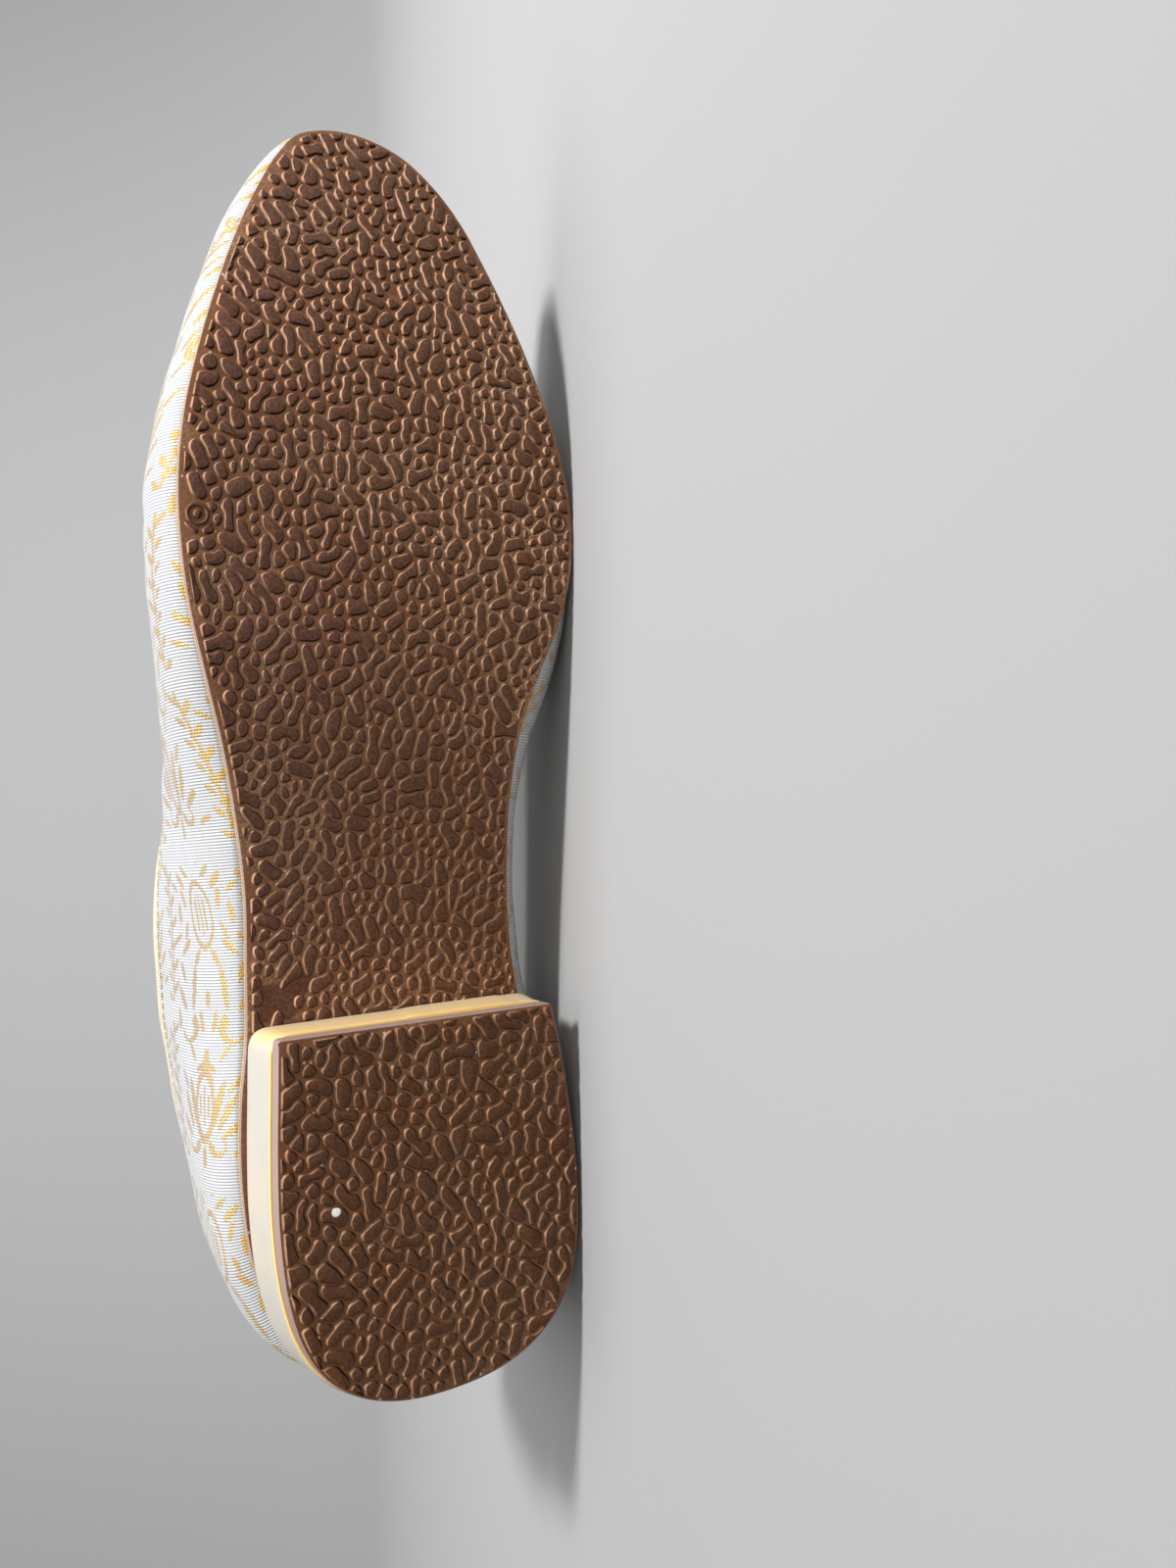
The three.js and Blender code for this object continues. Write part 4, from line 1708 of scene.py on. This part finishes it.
@dataclass
class Sole:
    """The outsole, the insole and their edges."""

    palette: Palette
    bevel: float = 1.3
    recess: float = 0.65
    rows_per: int = 6
    columns: int = 20
    # The pebbles: how far they stay from the edge, where they start, and their seed
    tread_inset: float = 0.95
    tread_steps: int = 420
    tread_start: float = 84.0
    seed: int = 11
    bare: Table = ((92, -29, 4.5), (95, -22, 3.0))
    marks: Table = ((201.3, -42.3), (203.4, 46))
    # The sock: gap to the lining, thickness, rise at its edge and rounding
    sock_gap: float = 0.4
    sock_thickness: float = 2.1
    sock_rise: float = 0.3
    sock_bevel: float = 0.4

    def face(self, inset: float, height: Surface) -> np.ndarray:
        """A field of points over the sole's outline.

        Args:
            inset: how far the outline is drawn in.
            height: the surface that the points lie on.

        Returns:
            The field.
        """
        rows = LAST.rows(self.rows_per)
        turn = rows / (2 * LAST.side_rows)
        sides = []
        for share in (turn, 1 - turn):
            flat, out = LAST.edge(share)
            sides.append(flat - out * inset)
        t = np.linspace(0, 1, self.columns + 1)[None, :, None]
        plan = sides[0][:, None] * (1 - t) + sides[1][:, None] * t
        z = height(plan[..., 0], plan[..., 1])
        return np.concatenate([plan, z[..., None]], -1)

    def plate(
        self,
        inset: float,
        bottom: Surface,
        top: Surface,
        bevel: float,
        banded: bool = False,
    ) -> bmesh.types.BMesh:
        """A closed plate with the sole's outline and its lower edge rounded.

        Args:
            inset: how far the outline is drawn in.
            bottom: its lower surface.
            top: its upper surface.
            bevel: size of the rounding.
            banded: whether its walls and its rounding have the second finish.

        Returns:
            The plate.
        """
        bm = bmesh.new()
        under = lattice(bm, self.face(inset, bottom))
        lattice(bm, self.face(inset, top))
        merge(bm)
        bmesh.ops.bridge_loops(bm, edges=open_edges(bm))
        face_outwards(bm)
        lower = {face for face in under if face.is_valid}
        rim = [
            edge
            for edge in bm.edges
            if len(edge.link_faces) == 2 and sum(face in lower for face in edge.link_faces) == 1
        ]
        rounded = bmesh.ops.bevel(
            bm,
            geom=rim,
            offset=bevel,
            offset_type="OFFSET",
            affect="EDGES",
            segments=3,
            profile=0.5,
            material=-1,
            clamp_overlap=True,
        )
        if banded:
            for face in rounded["faces"]:
                face.material_index = 1
            mark_walls(bm, 0.5)
        return bm

    def build(self) -> None:
        """Builds the outsole with its tread and the insole."""
        bm = self.plate(
            0,
            lambda x, y: sole_bottom(x, y) + self.recess,
            lambda x, y: sole_bottom(x, y) + SOLE_THICKNESS,
            self.bevel,
            banded=True,
        )
        relief = bm.verts.layers.float.new("relief")
        for vert in bm.verts:
            if any(math.hypot(vert.co.x - x, vert.co.y - y) < reach for x, y, reach in self.bare):
                vert[relief] = 1.0
        bm.verts.layers.float.new("glint")
        flat, out = LAST.edge(np.linspace(0, 1, self.tread_steps, endpoint=False))
        pebbles = Pebbles(
            outline=flat - out * self.tread_inset,
            height_of=sole_bottom,
            seed=self.seed,
            bare=self.bare,
            rings=self.marks,
            from_x=self.tread_start,
        )
        count = pebbles.build(bm)
        log.info("outsole pebbles: %d", count)
        outsole = finished(bm, "outsole_tread", self.palette.sole)
        outsole.data.materials.append(self.palette.edge)
        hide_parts("outsole")
        self.build_insole()

    def build_insole(self) -> None:
        """Builds the sock that lies in the shoe, a little raised along its edge."""
        inset = FEATHER_INSET + WALL + self.sock_gap
        floor = SOLE_THICKNESS + GAP

        def top(x: np.ndarray, y: np.ndarray) -> np.ndarray:
            """The upper face of the sock."""
            edge = np.interp(x, [row[0] for row in SOLE_EDGE], [row[1] for row in SOLE_EDGE])
            dish = np.clip(np.abs(y) / edge, 0, 1) ** 2
            return sole_bottom(x, y) + floor + self.sock_thickness + self.sock_rise * dish

        bm = self.plate(inset, lambda x, y: sole_bottom(x, y) + floor, top, self.sock_bevel)
        sock = finished(bm, "sock", self.palette.sock)
        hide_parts("insole")


@dataclass
class Heel:
    """The covered heel block and the rubber lift below it."""

    palette: Palette
    corner: float = 4.5
    lift_corner: float = 1.2
    recess: float = 0.65
    side_steps: int = 150
    breast_steps: int = 48
    corner_steps: int = 8
    # The lift's pebbles: how far they stay from its edge, and how they are strewn
    tread_inset: float = 0.75
    seed: int = 29
    spacing: tuple[float, float] = (2.1, 3.7)
    stretch: float = 1.06
    joined: float = 0.26
    # Where the strip meets at mid breast: lean of the seam, step between its ends and groove
    seam_place: float = 1.0
    seam_lean: float = 5.0
    seam_step: float = 0.22
    seam_groove: float = 0.3
    # Side of the block from the tread up: share of the height, and how far it stands past the tread
    levels: Table = (
        (0.0, 0.45),
        (0.015, 0.5),
        (0.035, 0.85),
        (0.06, 1.12),
        (0.1, 1.12),
        (0.125, 0.85),
        (0.14, 0.35),
        (0.15, 0.1),
        (0.17, 0.05),
        (0.19, 0.1),
        (0.2, 0.4),
        (0.215, 0.72),
        (0.24, 0.92),
        (0.3, 1.1),
        (0.45, 1.45),
        (0.6, 1.75),
        (0.75, 2.05),
        (0.9, 2.35),
        (0.97, 2.4),
        (1.0, 2.2),
    )

    def __post_init__(self) -> None:
        """Draws the side of the heel in plan."""
        there = [(x, -half) for x, half in reversed(HEEL_EDGE)]
        back = [(x, half) for x, half in HEEL_EDGE[1:]]
        points = np.array([LATERAL_CORNER, *there, *back, MEDIAL_CORNER], float)
        self.side = smooth_through(points, False, 40)
        self.run = run_along(self.side)

    def beside(self, at: np.ndarray) -> np.ndarray:
        """Points at distances along the side."""
        return np.stack([np.interp(at, self.run, self.side[:, k]) for k in (0, 1)], -1)

    def ring(self, offset: float, breast: float, corner: float) -> np.ndarray:
        """The heel's outline, once round.

        Args:
            offset: how far out from the tread's outline.
            breast: the same at the breast.
            corner: length of the rounding at the breast corners.

        Returns:
            Points in plan, from the lateral corner round the back, the medial corner and the breast.
        """
        at = np.linspace(corner, self.run[-1] - corner, self.side_steps)
        along = unit(self.beside(at + 0.5) - self.beside(at - 0.5))
        side = self.beside(at) + np.stack([-along[:, 1], along[:, 0]], -1) * offset
        tips = [
            np.array([x + breast, y + math.copysign(offset, y)])
            for x, y in (LATERAL_CORNER, MEDIAL_CORNER)
        ]
        across = unit(tips[1] - tips[0])
        t = np.linspace(0, 1, self.corner_steps)[1:-1, None]
        medial_end = tips[1] - across * corner
        lateral_end = tips[0] + across * corner

        def bend(a: np.ndarray, tip: np.ndarray, b: np.ndarray) -> np.ndarray:
            """A rounding from a to b inside a tip."""
            return (1 - t) ** 2 * a + 2 * t * (1 - t) * tip + t**2 * b

        share = np.linspace(0, 1, self.breast_steps)[:, None]
        front = medial_end * (1 - share) + lateral_end * share
        return np.vstack(
            [side, bend(side[-1], tips[1], medial_end), front, bend(lateral_end, tips[0], side[0]), side[:1]]
        )

    def stack(self, rings: Sequence[np.ndarray]) -> bmesh.types.BMesh:
        """A closed body through rings of points.

        Args:
            rings: the rings, from the tread up.

        Returns:
            The body.
        """
        bm = bmesh.new()
        lattice(bm, np.stack(rings))
        merge(bm)
        bmesh.ops.holes_fill(bm, edges=open_edges(bm), sides=0)
        face_outwards(bm)
        return bm

    def build_lift(self) -> None:
        """Builds the rubber lift with its pebbled tread."""
        # How far each ring stands past the tread's outline, and its height
        levels = (
            (-0.6, self.recess),
            (-0.25, self.recess + 0.05),
            (0.0, self.recess + 0.4),
            (0.08, LIFT_THICKNESS * 0.5),
            (0.15, LIFT_THICKNESS),
        )
        rings = []
        for offset, z in levels:
            plan = self.ring(offset, min(offset, 0), self.lift_corner)
            rings.append(np.concatenate([plan, np.full((len(plan), 1), z)], -1))
        bm = self.stack(rings)
        mark_walls(bm, 0.9)
        bm.verts.layers.float.new("relief")
        bm.verts.layers.float.new("glint")
        pebbles = Pebbles(
            outline=self.ring(-self.tread_inset, -self.tread_inset, self.lift_corner)[:-1],
            height_of=lambda x, y: np.zeros_like(x),
            seed=self.seed,
            spacing=self.spacing,
            stretch=self.stretch,
            joined=self.joined,
        )
        count = pebbles.build(bm)
        log.info("lift pebbles: %d", count)
        lift = finished(bm, "top_lift_tread", self.palette.lift)
        lift.data.materials.append(self.palette.edge)
        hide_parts("top_lift")

    def build_block(self) -> None:
        """Builds the covered block, whose strip meets in a slanting seam at mid breast."""
        floor = LIFT_THICKNESS + GAP
        rings = []
        shades = []
        for up, out in self.levels:
            plan = self.ring(out, 0.4 + (out - 0.7) * 0.25, self.corner)
            height = floor + up * (sole_bottom(plan[:, 0], plan[:, 1]) - GAP - floor)
            front = (np.abs(plan[:, 1]) < 26) & (plan[:, 0] > 75)
            lean = plan[:, 1] + self.seam_place - self.seam_lean * (up - 0.5)
            step = np.where(front, self.seam_step * smoothstep(lean, -0.15, 0.15), 0)
            groove = np.where(front, self.seam_groove * np.exp(-((lean / 0.3) ** 2)), 0)
            plan[:, 0] += step - groove
            rings.append(np.concatenate([plan, height[:, None]], -1))
            # The strip is yellower in the groove and at the tread, and on the breast, more so low down
            hollow = 1.0 if up < 0.03 or 0.13 <= up <= 0.21 else 0.0
            breast_shade = 0.4 + 0.22 * (up < 0.62) + 0.38 * hollow
            on_breast = smoothstep(plan[:, 0], 83.4, 85.6)
            shades.append(hollow + (breast_shade - hollow) * on_breast)
        bm = self.stack(rings)
        layer = bm.verts.layers.float.new("shade")
        table = {tuple(np.round(p, 3)): s for ring, row in zip(rings, shades) for p, s in zip(ring, row)}
        for vert in bm.verts:
            vert[layer] = float(table.get(tuple(np.round(np.array(vert.co), 3)), 0.0))
        block = finished(bm, "heel_block_cover", self.palette.cover, 50)
        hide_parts("heel_block")

    def build(self) -> None:
        """Builds lift and block."""
        self.build_lift()
        self.build_block()


@dataclass
class Upper:
    """The brocade upper with its lining, collar binding, cord and stitches."""

    palette: Palette
    cloth: float = 1.2
    lining: float = 1.0
    seam: float = 0.35
    stitch_pitch: float = 2.6
    stitch_size: tuple[float, float, float] = (0.95, 0.3, 0.22)
    rows_per: int = 8
    lower_steps: int = 12
    upper_steps: int = 28
    # Extra ribs behind the throat and at the back, in rows of the sole's table
    throat_ribs: Sequence[float] = (0.008, 0.02, 0.035, 0.055, 0.08, 0.11, 0.17, 0.21)
    back_ribs: Sequence[float] = (0.015, 0.03, 0.05, 0.08)
    # Where the cloth starts to wrap the heel and how wide it wraps, and where its columns line up
    wrap_start: float = 45.0
    wrap_radius: float = 42.0
    level_start: float = 95.0
    level_end: float = 175.0
    # Height over which the painted sheen fades, the gold going from deep to pale
    sheen_fade: float = 7.0
    # Binding: how far it stands past the wall, its half height and its points once round
    binding_past: float = 0.75
    binding_half: float = 1.6
    binding_steps: int = 16
    stitch_drop: float = 2.6
    stitch_proud: float = 0.04
    cord_radius: float = 0.45
    cord_inset: float = 0.1
    cord_steps: int = 700
    # Soft creases: x, height on the side, turn, half length, half width and depth, for each side
    creases: Sequence[tuple[Side, float, float, float, float, float, float]] = (
        (Side.LATERAL, 206, 26, 1.35, 13, 2.6, 0.55),
        (Side.LATERAL, 214, 30, 1.2, 12, 2.4, 0.4),
        (Side.LATERAL, 197, 34, 1.45, 12, 2.8, 0.4),
        (Side.MEDIAL, 205, 30, 1.4, 13, 2.6, 0.5),
        (Side.MEDIAL, 215, 34, 1.25, 12, 2.4, 0.4),
        (Side.LATERAL, 150, 38, 0.5, 16, 4.0, 0.5),
        (Side.MEDIAL, 146, 40, 0.4, 16, 4.0, 0.5),
        (Side.LATERAL, 52, 44, 0.15, 20, 4.5, 0.35),
    )

    def relief(self, points: np.ndarray) -> np.ndarray:
        """Soft creases, the back seam and a slight waviness.

        Args:
            points: points on the last.

        Returns:
            How far the cloth stands out of the last there.
        """
        x, y, z = points[..., 0], points[..., 1], points[..., 2]
        out = 0.16 * np.sin(x * 0.21 + z * 0.13) * np.sin(z * 0.19 - x * 0.07 + 1.3)
        out -= np.where(x < 12, self.seam * np.exp(-((y / 0.45) ** 2)), 0)
        for side, cx, cz, turn, length, width, depth in self.creases:
            du, dv = x - cx, z - cz
            along = du * math.cos(turn) + dv * math.sin(turn)
            across = dv * math.cos(turn) - du * math.sin(turn)
            dip = np.exp(-((along / length) ** 2) - (across / width) ** 2)
            bank = np.exp(-((along / length) ** 2) - ((np.abs(across) - 2 * width) / width) ** 2)
            on_side = smoothstep(y * side.value, 2, 14)
            out += on_side * (0.35 * depth * bank - depth * dip)
        return out

    def field(
        self, rows_per: int, lower: int, upper: int, inward: float
    ) -> tuple[np.ndarray, np.ndarray, np.ndarray]:
        """The surface of the upper as a field of points.

        Args:
            rows_per: ribs in each row of the sole's table.
            lower: steps from the sole to the widest line.
            upper: steps from there to the top edge or the crown.
            inward: how far inside the last the surface lies.

        Returns:
            The points, the texture places and the row of each rib.
        """
        turn, row = LAST.around(LAST.rows(rows_per, self.throat_ribs, self.back_ribs))
        end = LAST.rib_end(turn, row)
        low = np.linspace(0, 1, lower + 1)[:-1]
        high = np.linspace(0, 1, upper + 1)
        reach = np.concatenate(
            [np.tile(low, (len(turn), 1)), 1 + high[None, :] * (end[:, None] - 1)], 1
        )
        across = np.tile(turn[:, None], (1, reach.shape[1]))
        points = LAST.rib(across, reach)
        step = 1e-3
        along = LAST.rib(across + step, reach) - LAST.rib(across - step, reach)
        above, below = np.minimum(reach + 4 * step, 2.0), np.maximum(reach - 4 * step, 0.0)
        normal = np.cross(along, LAST.rib(across, above) - LAST.rib(across, below))
        normal /= np.maximum(np.linalg.norm(normal, axis=-1, keepdims=True), 1e-9)
        # The ribs meet on the crown line, where the crown's own slope gives the direction
        slope = LAST.crown_slope(points[..., 0])
        ridge = unit(np.stack([-slope, np.zeros_like(slope), np.ones_like(slope)], -1))
        blend = smoothstep(reach, 1.9, 1.995)[..., None]
        normal = unit(normal * (1 - blend) + ridge * blend)
        uv = self.places(points, row)
        foot = smoothstep(reach, 0.0, 0.5)
        points = points + normal * (self.relief(points) * foot - inward)[..., None]
        return points, uv, row

    def places(self, points: np.ndarray, row: np.ndarray) -> np.ndarray:
        """Where each point lies on the cloth.

        Args:
            points: the field of points.
            row: the row of each rib.

        Returns:
            Millimetres along the shoe, and across it from the crown line down.
        """
        steps = np.linalg.norm(np.diff(points, axis=1), axis=-1)
        girth = np.concatenate([np.zeros((len(points), 1)), np.cumsum(steps, 1)], 1)
        total = girth[:, -1]
        half = len(row) // 2
        throat = [int(np.argmin(np.abs(part - LAST.throat_row))) for part in (row[:half], row[half:])]
        open_part = row < LAST.throat_row
        reference = total.copy()
        reference[:half][open_part[:half]] = total[throat[0]]
        reference[half:][open_part[half:]] = total[half + throat[1]]
        x, y = points[..., 0], points[..., 1]
        start = self.wrap_start
        wrap = start - self.wrap_radius * np.arctan2(start - x, np.abs(y) + 1e-6)
        along = np.where(x < start, wrap, x)
        level = Damask.column / 2 * smoothstep(x, self.level_start, self.level_end)
        across = girth - reference[:, None] - level
        return np.stack([along, across], -1)

    def skin(
        self,
        name: str,
        inward: float,
        thickness: float,
        coarse: int,
        material: bpy.types.Material,
        slot: Slot,
    ) -> bpy.types.Object:
        """One layer of the upper as a closed shell.

        Args:
            name: the piece's name.
            inward: how far inside the last its outer face lies.
            thickness: of the layer.
            coarse: how many times fewer faces than the cloth it has.
            material: its finish.
            slot: the record's slot; not used.

        Returns:
            The new piece.
        """
        points, uv, _ = self.field(
            self.rows_per // coarse, self.lower_steps // coarse, self.upper_steps // coarse, inward
        )
        bm = bmesh.new()
        lattice(bm, points, uv)
        merge(bm, 0.01)
        face_outwards(bm)
        if sum(face.normal.y * face.calc_center_median().y for face in bm.faces) < 0:
            bmesh.ops.reverse_faces(bm, faces=bm.faces[:])
        # Nearness to the sole, which sets the gold's painted sheen
        low = bm.verts.layers.float.new("low")
        for vert in bm.verts:
            above = vert.co.z - float(sole_bottom(vert.co.x, vert.co.y)) - SOLE_THICKNESS
            vert[low] = math.exp(-max(0.0, above) / self.sheen_fade)
        piece = finished(bm, name, material, 60)
        wall = piece.modifiers.new("wall", "SOLIDIFY")
        wall.thickness = thickness * 0.001
        wall.offset = -1.0
        return piece

    def build(self) -> None:
        """Builds the cloth, the lining and the trims."""
        cloth = self.skin("upper_brocade", 0.0, self.cloth, 1, self.palette.brocade, Slot.BROCADE)
        lining = self.skin(
            "upper_lining", self.cloth + 0.05, self.lining, 2, self.palette.lining, Slot.LINING
        )
        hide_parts("upper")
        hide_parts("upper")
        self.build_binding()
        self.build_cord()

    def loop(self) -> tuple[np.ndarray, np.ndarray]:
        """The top edge once round the opening.

        Returns:
            Its points in the middle of the wall, and the directions square to the wall there.
        """
        points, _, row = self.field(self.rows_per, self.lower_steps, self.upper_steps, 0.0)
        inner, _, _ = self.field(self.rows_per, self.lower_steps, self.upper_steps, WALL)
        keep = row <= LAST.throat_row + 1e-9
        edge = points[keep, -1]
        inside = inner[keep, -1]
        first = int(np.argmax(~keep))
        edge = np.delete(edge, first, axis=0)[:-1]
        inside = np.delete(inside, first, axis=0)[:-1]
        return (edge + inside) / 2, unit(edge - inside)

    @staticmethod
    def heading(path: np.ndarray) -> np.ndarray:
        """The directions along a closed path."""
        return unit(np.roll(path, -1, 0) - np.roll(path, 1, 0))

    def sweep(self, path: np.ndarray, side: np.ndarray, profile: Table) -> bmesh.types.BMesh:
        """A closed strip with one profile along a closed path.

        Args:
            path: points of the path.
            side: directions that the profile's second value goes to.
            profile: how far along the third direction and how far to the side, once round.

        Returns:
            The strip, with texture places along and round it.
        """
        up = unit(np.cross(side, self.heading(path)))
        ring = [*profile, profile[0]]
        points = np.stack([path + up * a + side * b for a, b in ring], 1)
        points = np.concatenate([points, points[:1]])
        run, girth = run_along(points[:, 0]), run_along(np.array(ring))
        uv = np.stack(np.meshgrid(run, girth, indexing="ij"), -1)
        bm = bmesh.new()
        lattice(bm, points, uv)
        merge(bm)
        bmesh.ops.dissolve_degenerate(bm, edges=bm.edges[:], dist=0.002)
        face_outwards(bm)
        return bm

    def build_binding(self) -> None:
        """Builds the folded strip over the top edge."""
        path, side = self.loop()
        half = WALL / 2 + self.binding_past
        profile = []
        for k in range(self.binding_steps):
            turn = 2 * math.pi * k / self.binding_steps
            across = math.copysign(abs(math.sin(turn)) ** 0.7, math.sin(turn)) * half
            rise = math.copysign(abs(math.cos(turn)) ** 0.75, math.cos(turn)) * self.binding_half
            profile.append((GAP + self.binding_half - rise, across))
        bm = self.sweep(path, side, tuple(profile))
        binding = finished(bm, "collar_binding_strip", self.palette.piping, 60)
        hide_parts("collar_binding")
        self.build_stitches(path, side)

    def build_stitches(self, path: np.ndarray, side: np.ndarray) -> None:
        """Builds the row of gold stitches below the binding.

        Args:
            path: points of the top edge.
            side: directions square to the wall there.
        """
        ahead = self.heading(path)
        drop = np.cross(side, ahead) * self.stitch_drop
        line = path - drop + side * (WALL / 2 + self.stitch_proud)
        run = run_along(np.vstack([line, line[:1]]))
        count = int(run[-1] / self.stitch_pitch)
        bm = bmesh.new()
        layer = bm.loops.layers.uv.new("weave")
        for k in range(count):
            at = run[-1] * k / count
            i = min(int(np.searchsorted(run, at, "right")) - 1, len(line) - 1)
            part = (at - run[i]) / max(run[i + 1] - run[i], 1e-6)
            place = Vector(line[i] * (1 - part) + line[(i + 1) % len(line)] * part)
            axes = Matrix((ahead[i], np.cross(side[i], ahead[i]), side[i])).transposed().to_4x4()
            spot = Matrix.Translation(place) @ axes @ Matrix.Diagonal((*self.stitch_size, 1))
            made = bmesh.ops.create_uvsphere(bm, u_segments=8, v_segments=6, radius=1.0)
            for vert in made["verts"]:
                for loop in vert.link_loops:
                    loop[layer].uv = (vert.co.x, vert.co.y)
            bmesh.ops.transform(bm, matrix=spot, verts=made["verts"])
        face_outwards(bm)
        finished(bm, "collar_stitches", self.palette.stitch, 80)

    def build_cord(self) -> None:
        """Builds the thin gold cord in the groove between upper and sole."""
        flat, out = LAST.edge(np.linspace(0, 1, self.cord_steps, endpoint=False))
        plan = flat - out * (FEATHER_INSET - self.cord_inset)
        z = sole_bottom(plan[:, 0], plan[:, 1]) + SOLE_THICKNESS + self.cord_radius
        path = np.concatenate([plan, z[:, None]], -1)
        side = np.concatenate([out, np.zeros((len(out), 1))], -1)
        turns = np.linspace(0, 2 * math.pi, 11)[:-1]
        profile = tuple((self.cord_radius * math.cos(a), self.cord_radius * math.sin(a)) for a in turns)
        bm = self.sweep(path, side, profile)
        finished(bm, "feather_cord", self.palette.cord, 80)


@dataclass
class Studio:
    """Camera, floor and lights."""

    centre: tuple[float, float, float] = (-0.025969, -0.311601, 0.076937)
    right: tuple[float, float, float] = (-0.013313, -0.269244, -0.96298)
    up: tuple[float, float, float] = (0.998155, -0.060641, 0.003156)
    back: tuple[float, float, float] = (-0.059245, -0.961161, 0.269554)
    focal_pixels: float = 1198.08
    frame_height: float = 1600.0
    sensor: float = 36.0
    # The floor: where it starts, where it turns up, the radius of the turn, its height and half width
    floor_front: float = -2.2
    floor_bend: float = 0.5
    floor_radius: float = 0.5
    floor_top: float = 2.2
    floor_half: float = 2.5
    floor_steps: int = 12
    # What the lights are aimed at
    middle: tuple[float, float, float] = (0.0, 0.0, 0.05)

    def camera(self) -> None:
        """Sets up the camera at the photo's angle, rolled so that the toe points up the frame."""
        data = bpy.data.cameras.new("camera")
        data.sensor_width = self.sensor
        data.lens = self.focal_pixels * self.sensor / self.frame_height
        data.clip_start = 0.01
        camera = bpy.data.objects.new("camera", data)
        turned = Matrix((self.right, self.up, self.back)).transposed().to_4x4()
        camera.matrix_world = Matrix.Translation(self.centre) @ turned
        bpy.context.scene.collection.objects.link(camera)
        bpy.context.scene.camera = camera

    def floor(self) -> None:
        """A pale floor that sweeps up behind the shoe."""
        bend, radius = self.floor_bend, self.floor_radius
        profile = [(self.floor_front, 0.0), (bend, 0.0)]
        for k in range(1, self.floor_steps + 1):
            turn = math.radians(90 * k / self.floor_steps)
            profile.append((bend + radius * math.sin(turn), radius - radius * math.cos(turn)))
        profile.append((bend + radius, self.floor_top))
        xs = (-self.floor_half, 0.0, self.floor_half)
        bm = bmesh.new()
        lattice(bm, np.array([[(x, y, z) for y, z in profile] for x in xs]))
        face_up(bm.faces)
        for face in bm.faces:
            face.smooth = True
        mesh = bpy.data.meshes.new("floor")
        bm.to_mesh(mesh)
        bm.free()
        floor = bpy.data.objects.new("floor", mesh)
        bpy.context.scene.collection.objects.link(floor)
        material = bpy.data.materials.new("studio_grey")
        material.use_nodes = True
        shader = material.node_tree.nodes["Principled BSDF"]
        shader.inputs["Base Color"].default_value = (0.4, 0.4, 0.4, 1.0)
        shader.inputs["Roughness"].default_value = 0.9
        shader.inputs["Specular IOR Level"].default_value = 0.1
        mesh.materials.append(material)

    def light(
        self, name: str, place: Sequence[float], aim: Sequence[float], size: float, power: float
    ) -> bpy.types.Object:
        """A square soft light.

        Args:
            name: its name.
            place: where it stands.
            aim: the point it is aimed at.
            size: side of the square.
            power: in watts.

        Returns:
            The light.
        """
        data = bpy.data.lights.new(name, "AREA")
        data.size = size
        data.energy = power
        light = bpy.data.objects.new(name, data)
        way = Vector(aim) - Vector(place)
        light.matrix_world = Matrix.Translation(place) @ way.to_track_quat("-Z", "Y").to_matrix().to_4x4()
        bpy.context.scene.collection.objects.link(light)
        return light

    def build(self) -> None:
        """Sets up camera, floor, lights and surroundings."""
        self.camera()
        self.floor()
        self.light("key_above", (0.6, -0.45, 0.95), self.middle, 0.2, 16.5)
        fill = self.light("front_fill", (0.25, -1.4, 0.3), self.middle, 1.2, 8.0)
        fill.visible_glossy = False
        self.light("backdrop_light", (0.0, 0.1, 1.0), (0.0, 1.0, 0.5), 1.2, 9.0)
        world = bpy.data.worlds.new("surround")
        world.use_nodes = True
        shade = world.node_tree.nodes["Background"]
        shade.inputs["Color"].default_value = (0.95, 0.97, 1.0, 1.0)
        shade.inputs["Strength"].default_value = 0.2
        bpy.context.scene.world = world
        bpy.context.scene.view_settings.view_transform = "Standard"


def main() -> None:
    """Builds the shoe around the frame."""
    logging.basicConfig(level=logging.INFO, format="%(name)s: %(message)s")
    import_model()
    Studio().build()
    palette = Palette()
    Sole(palette).build()
    Heel(palette).build()
    Upper(palette).build()


if __name__ == "__main__":
    main()
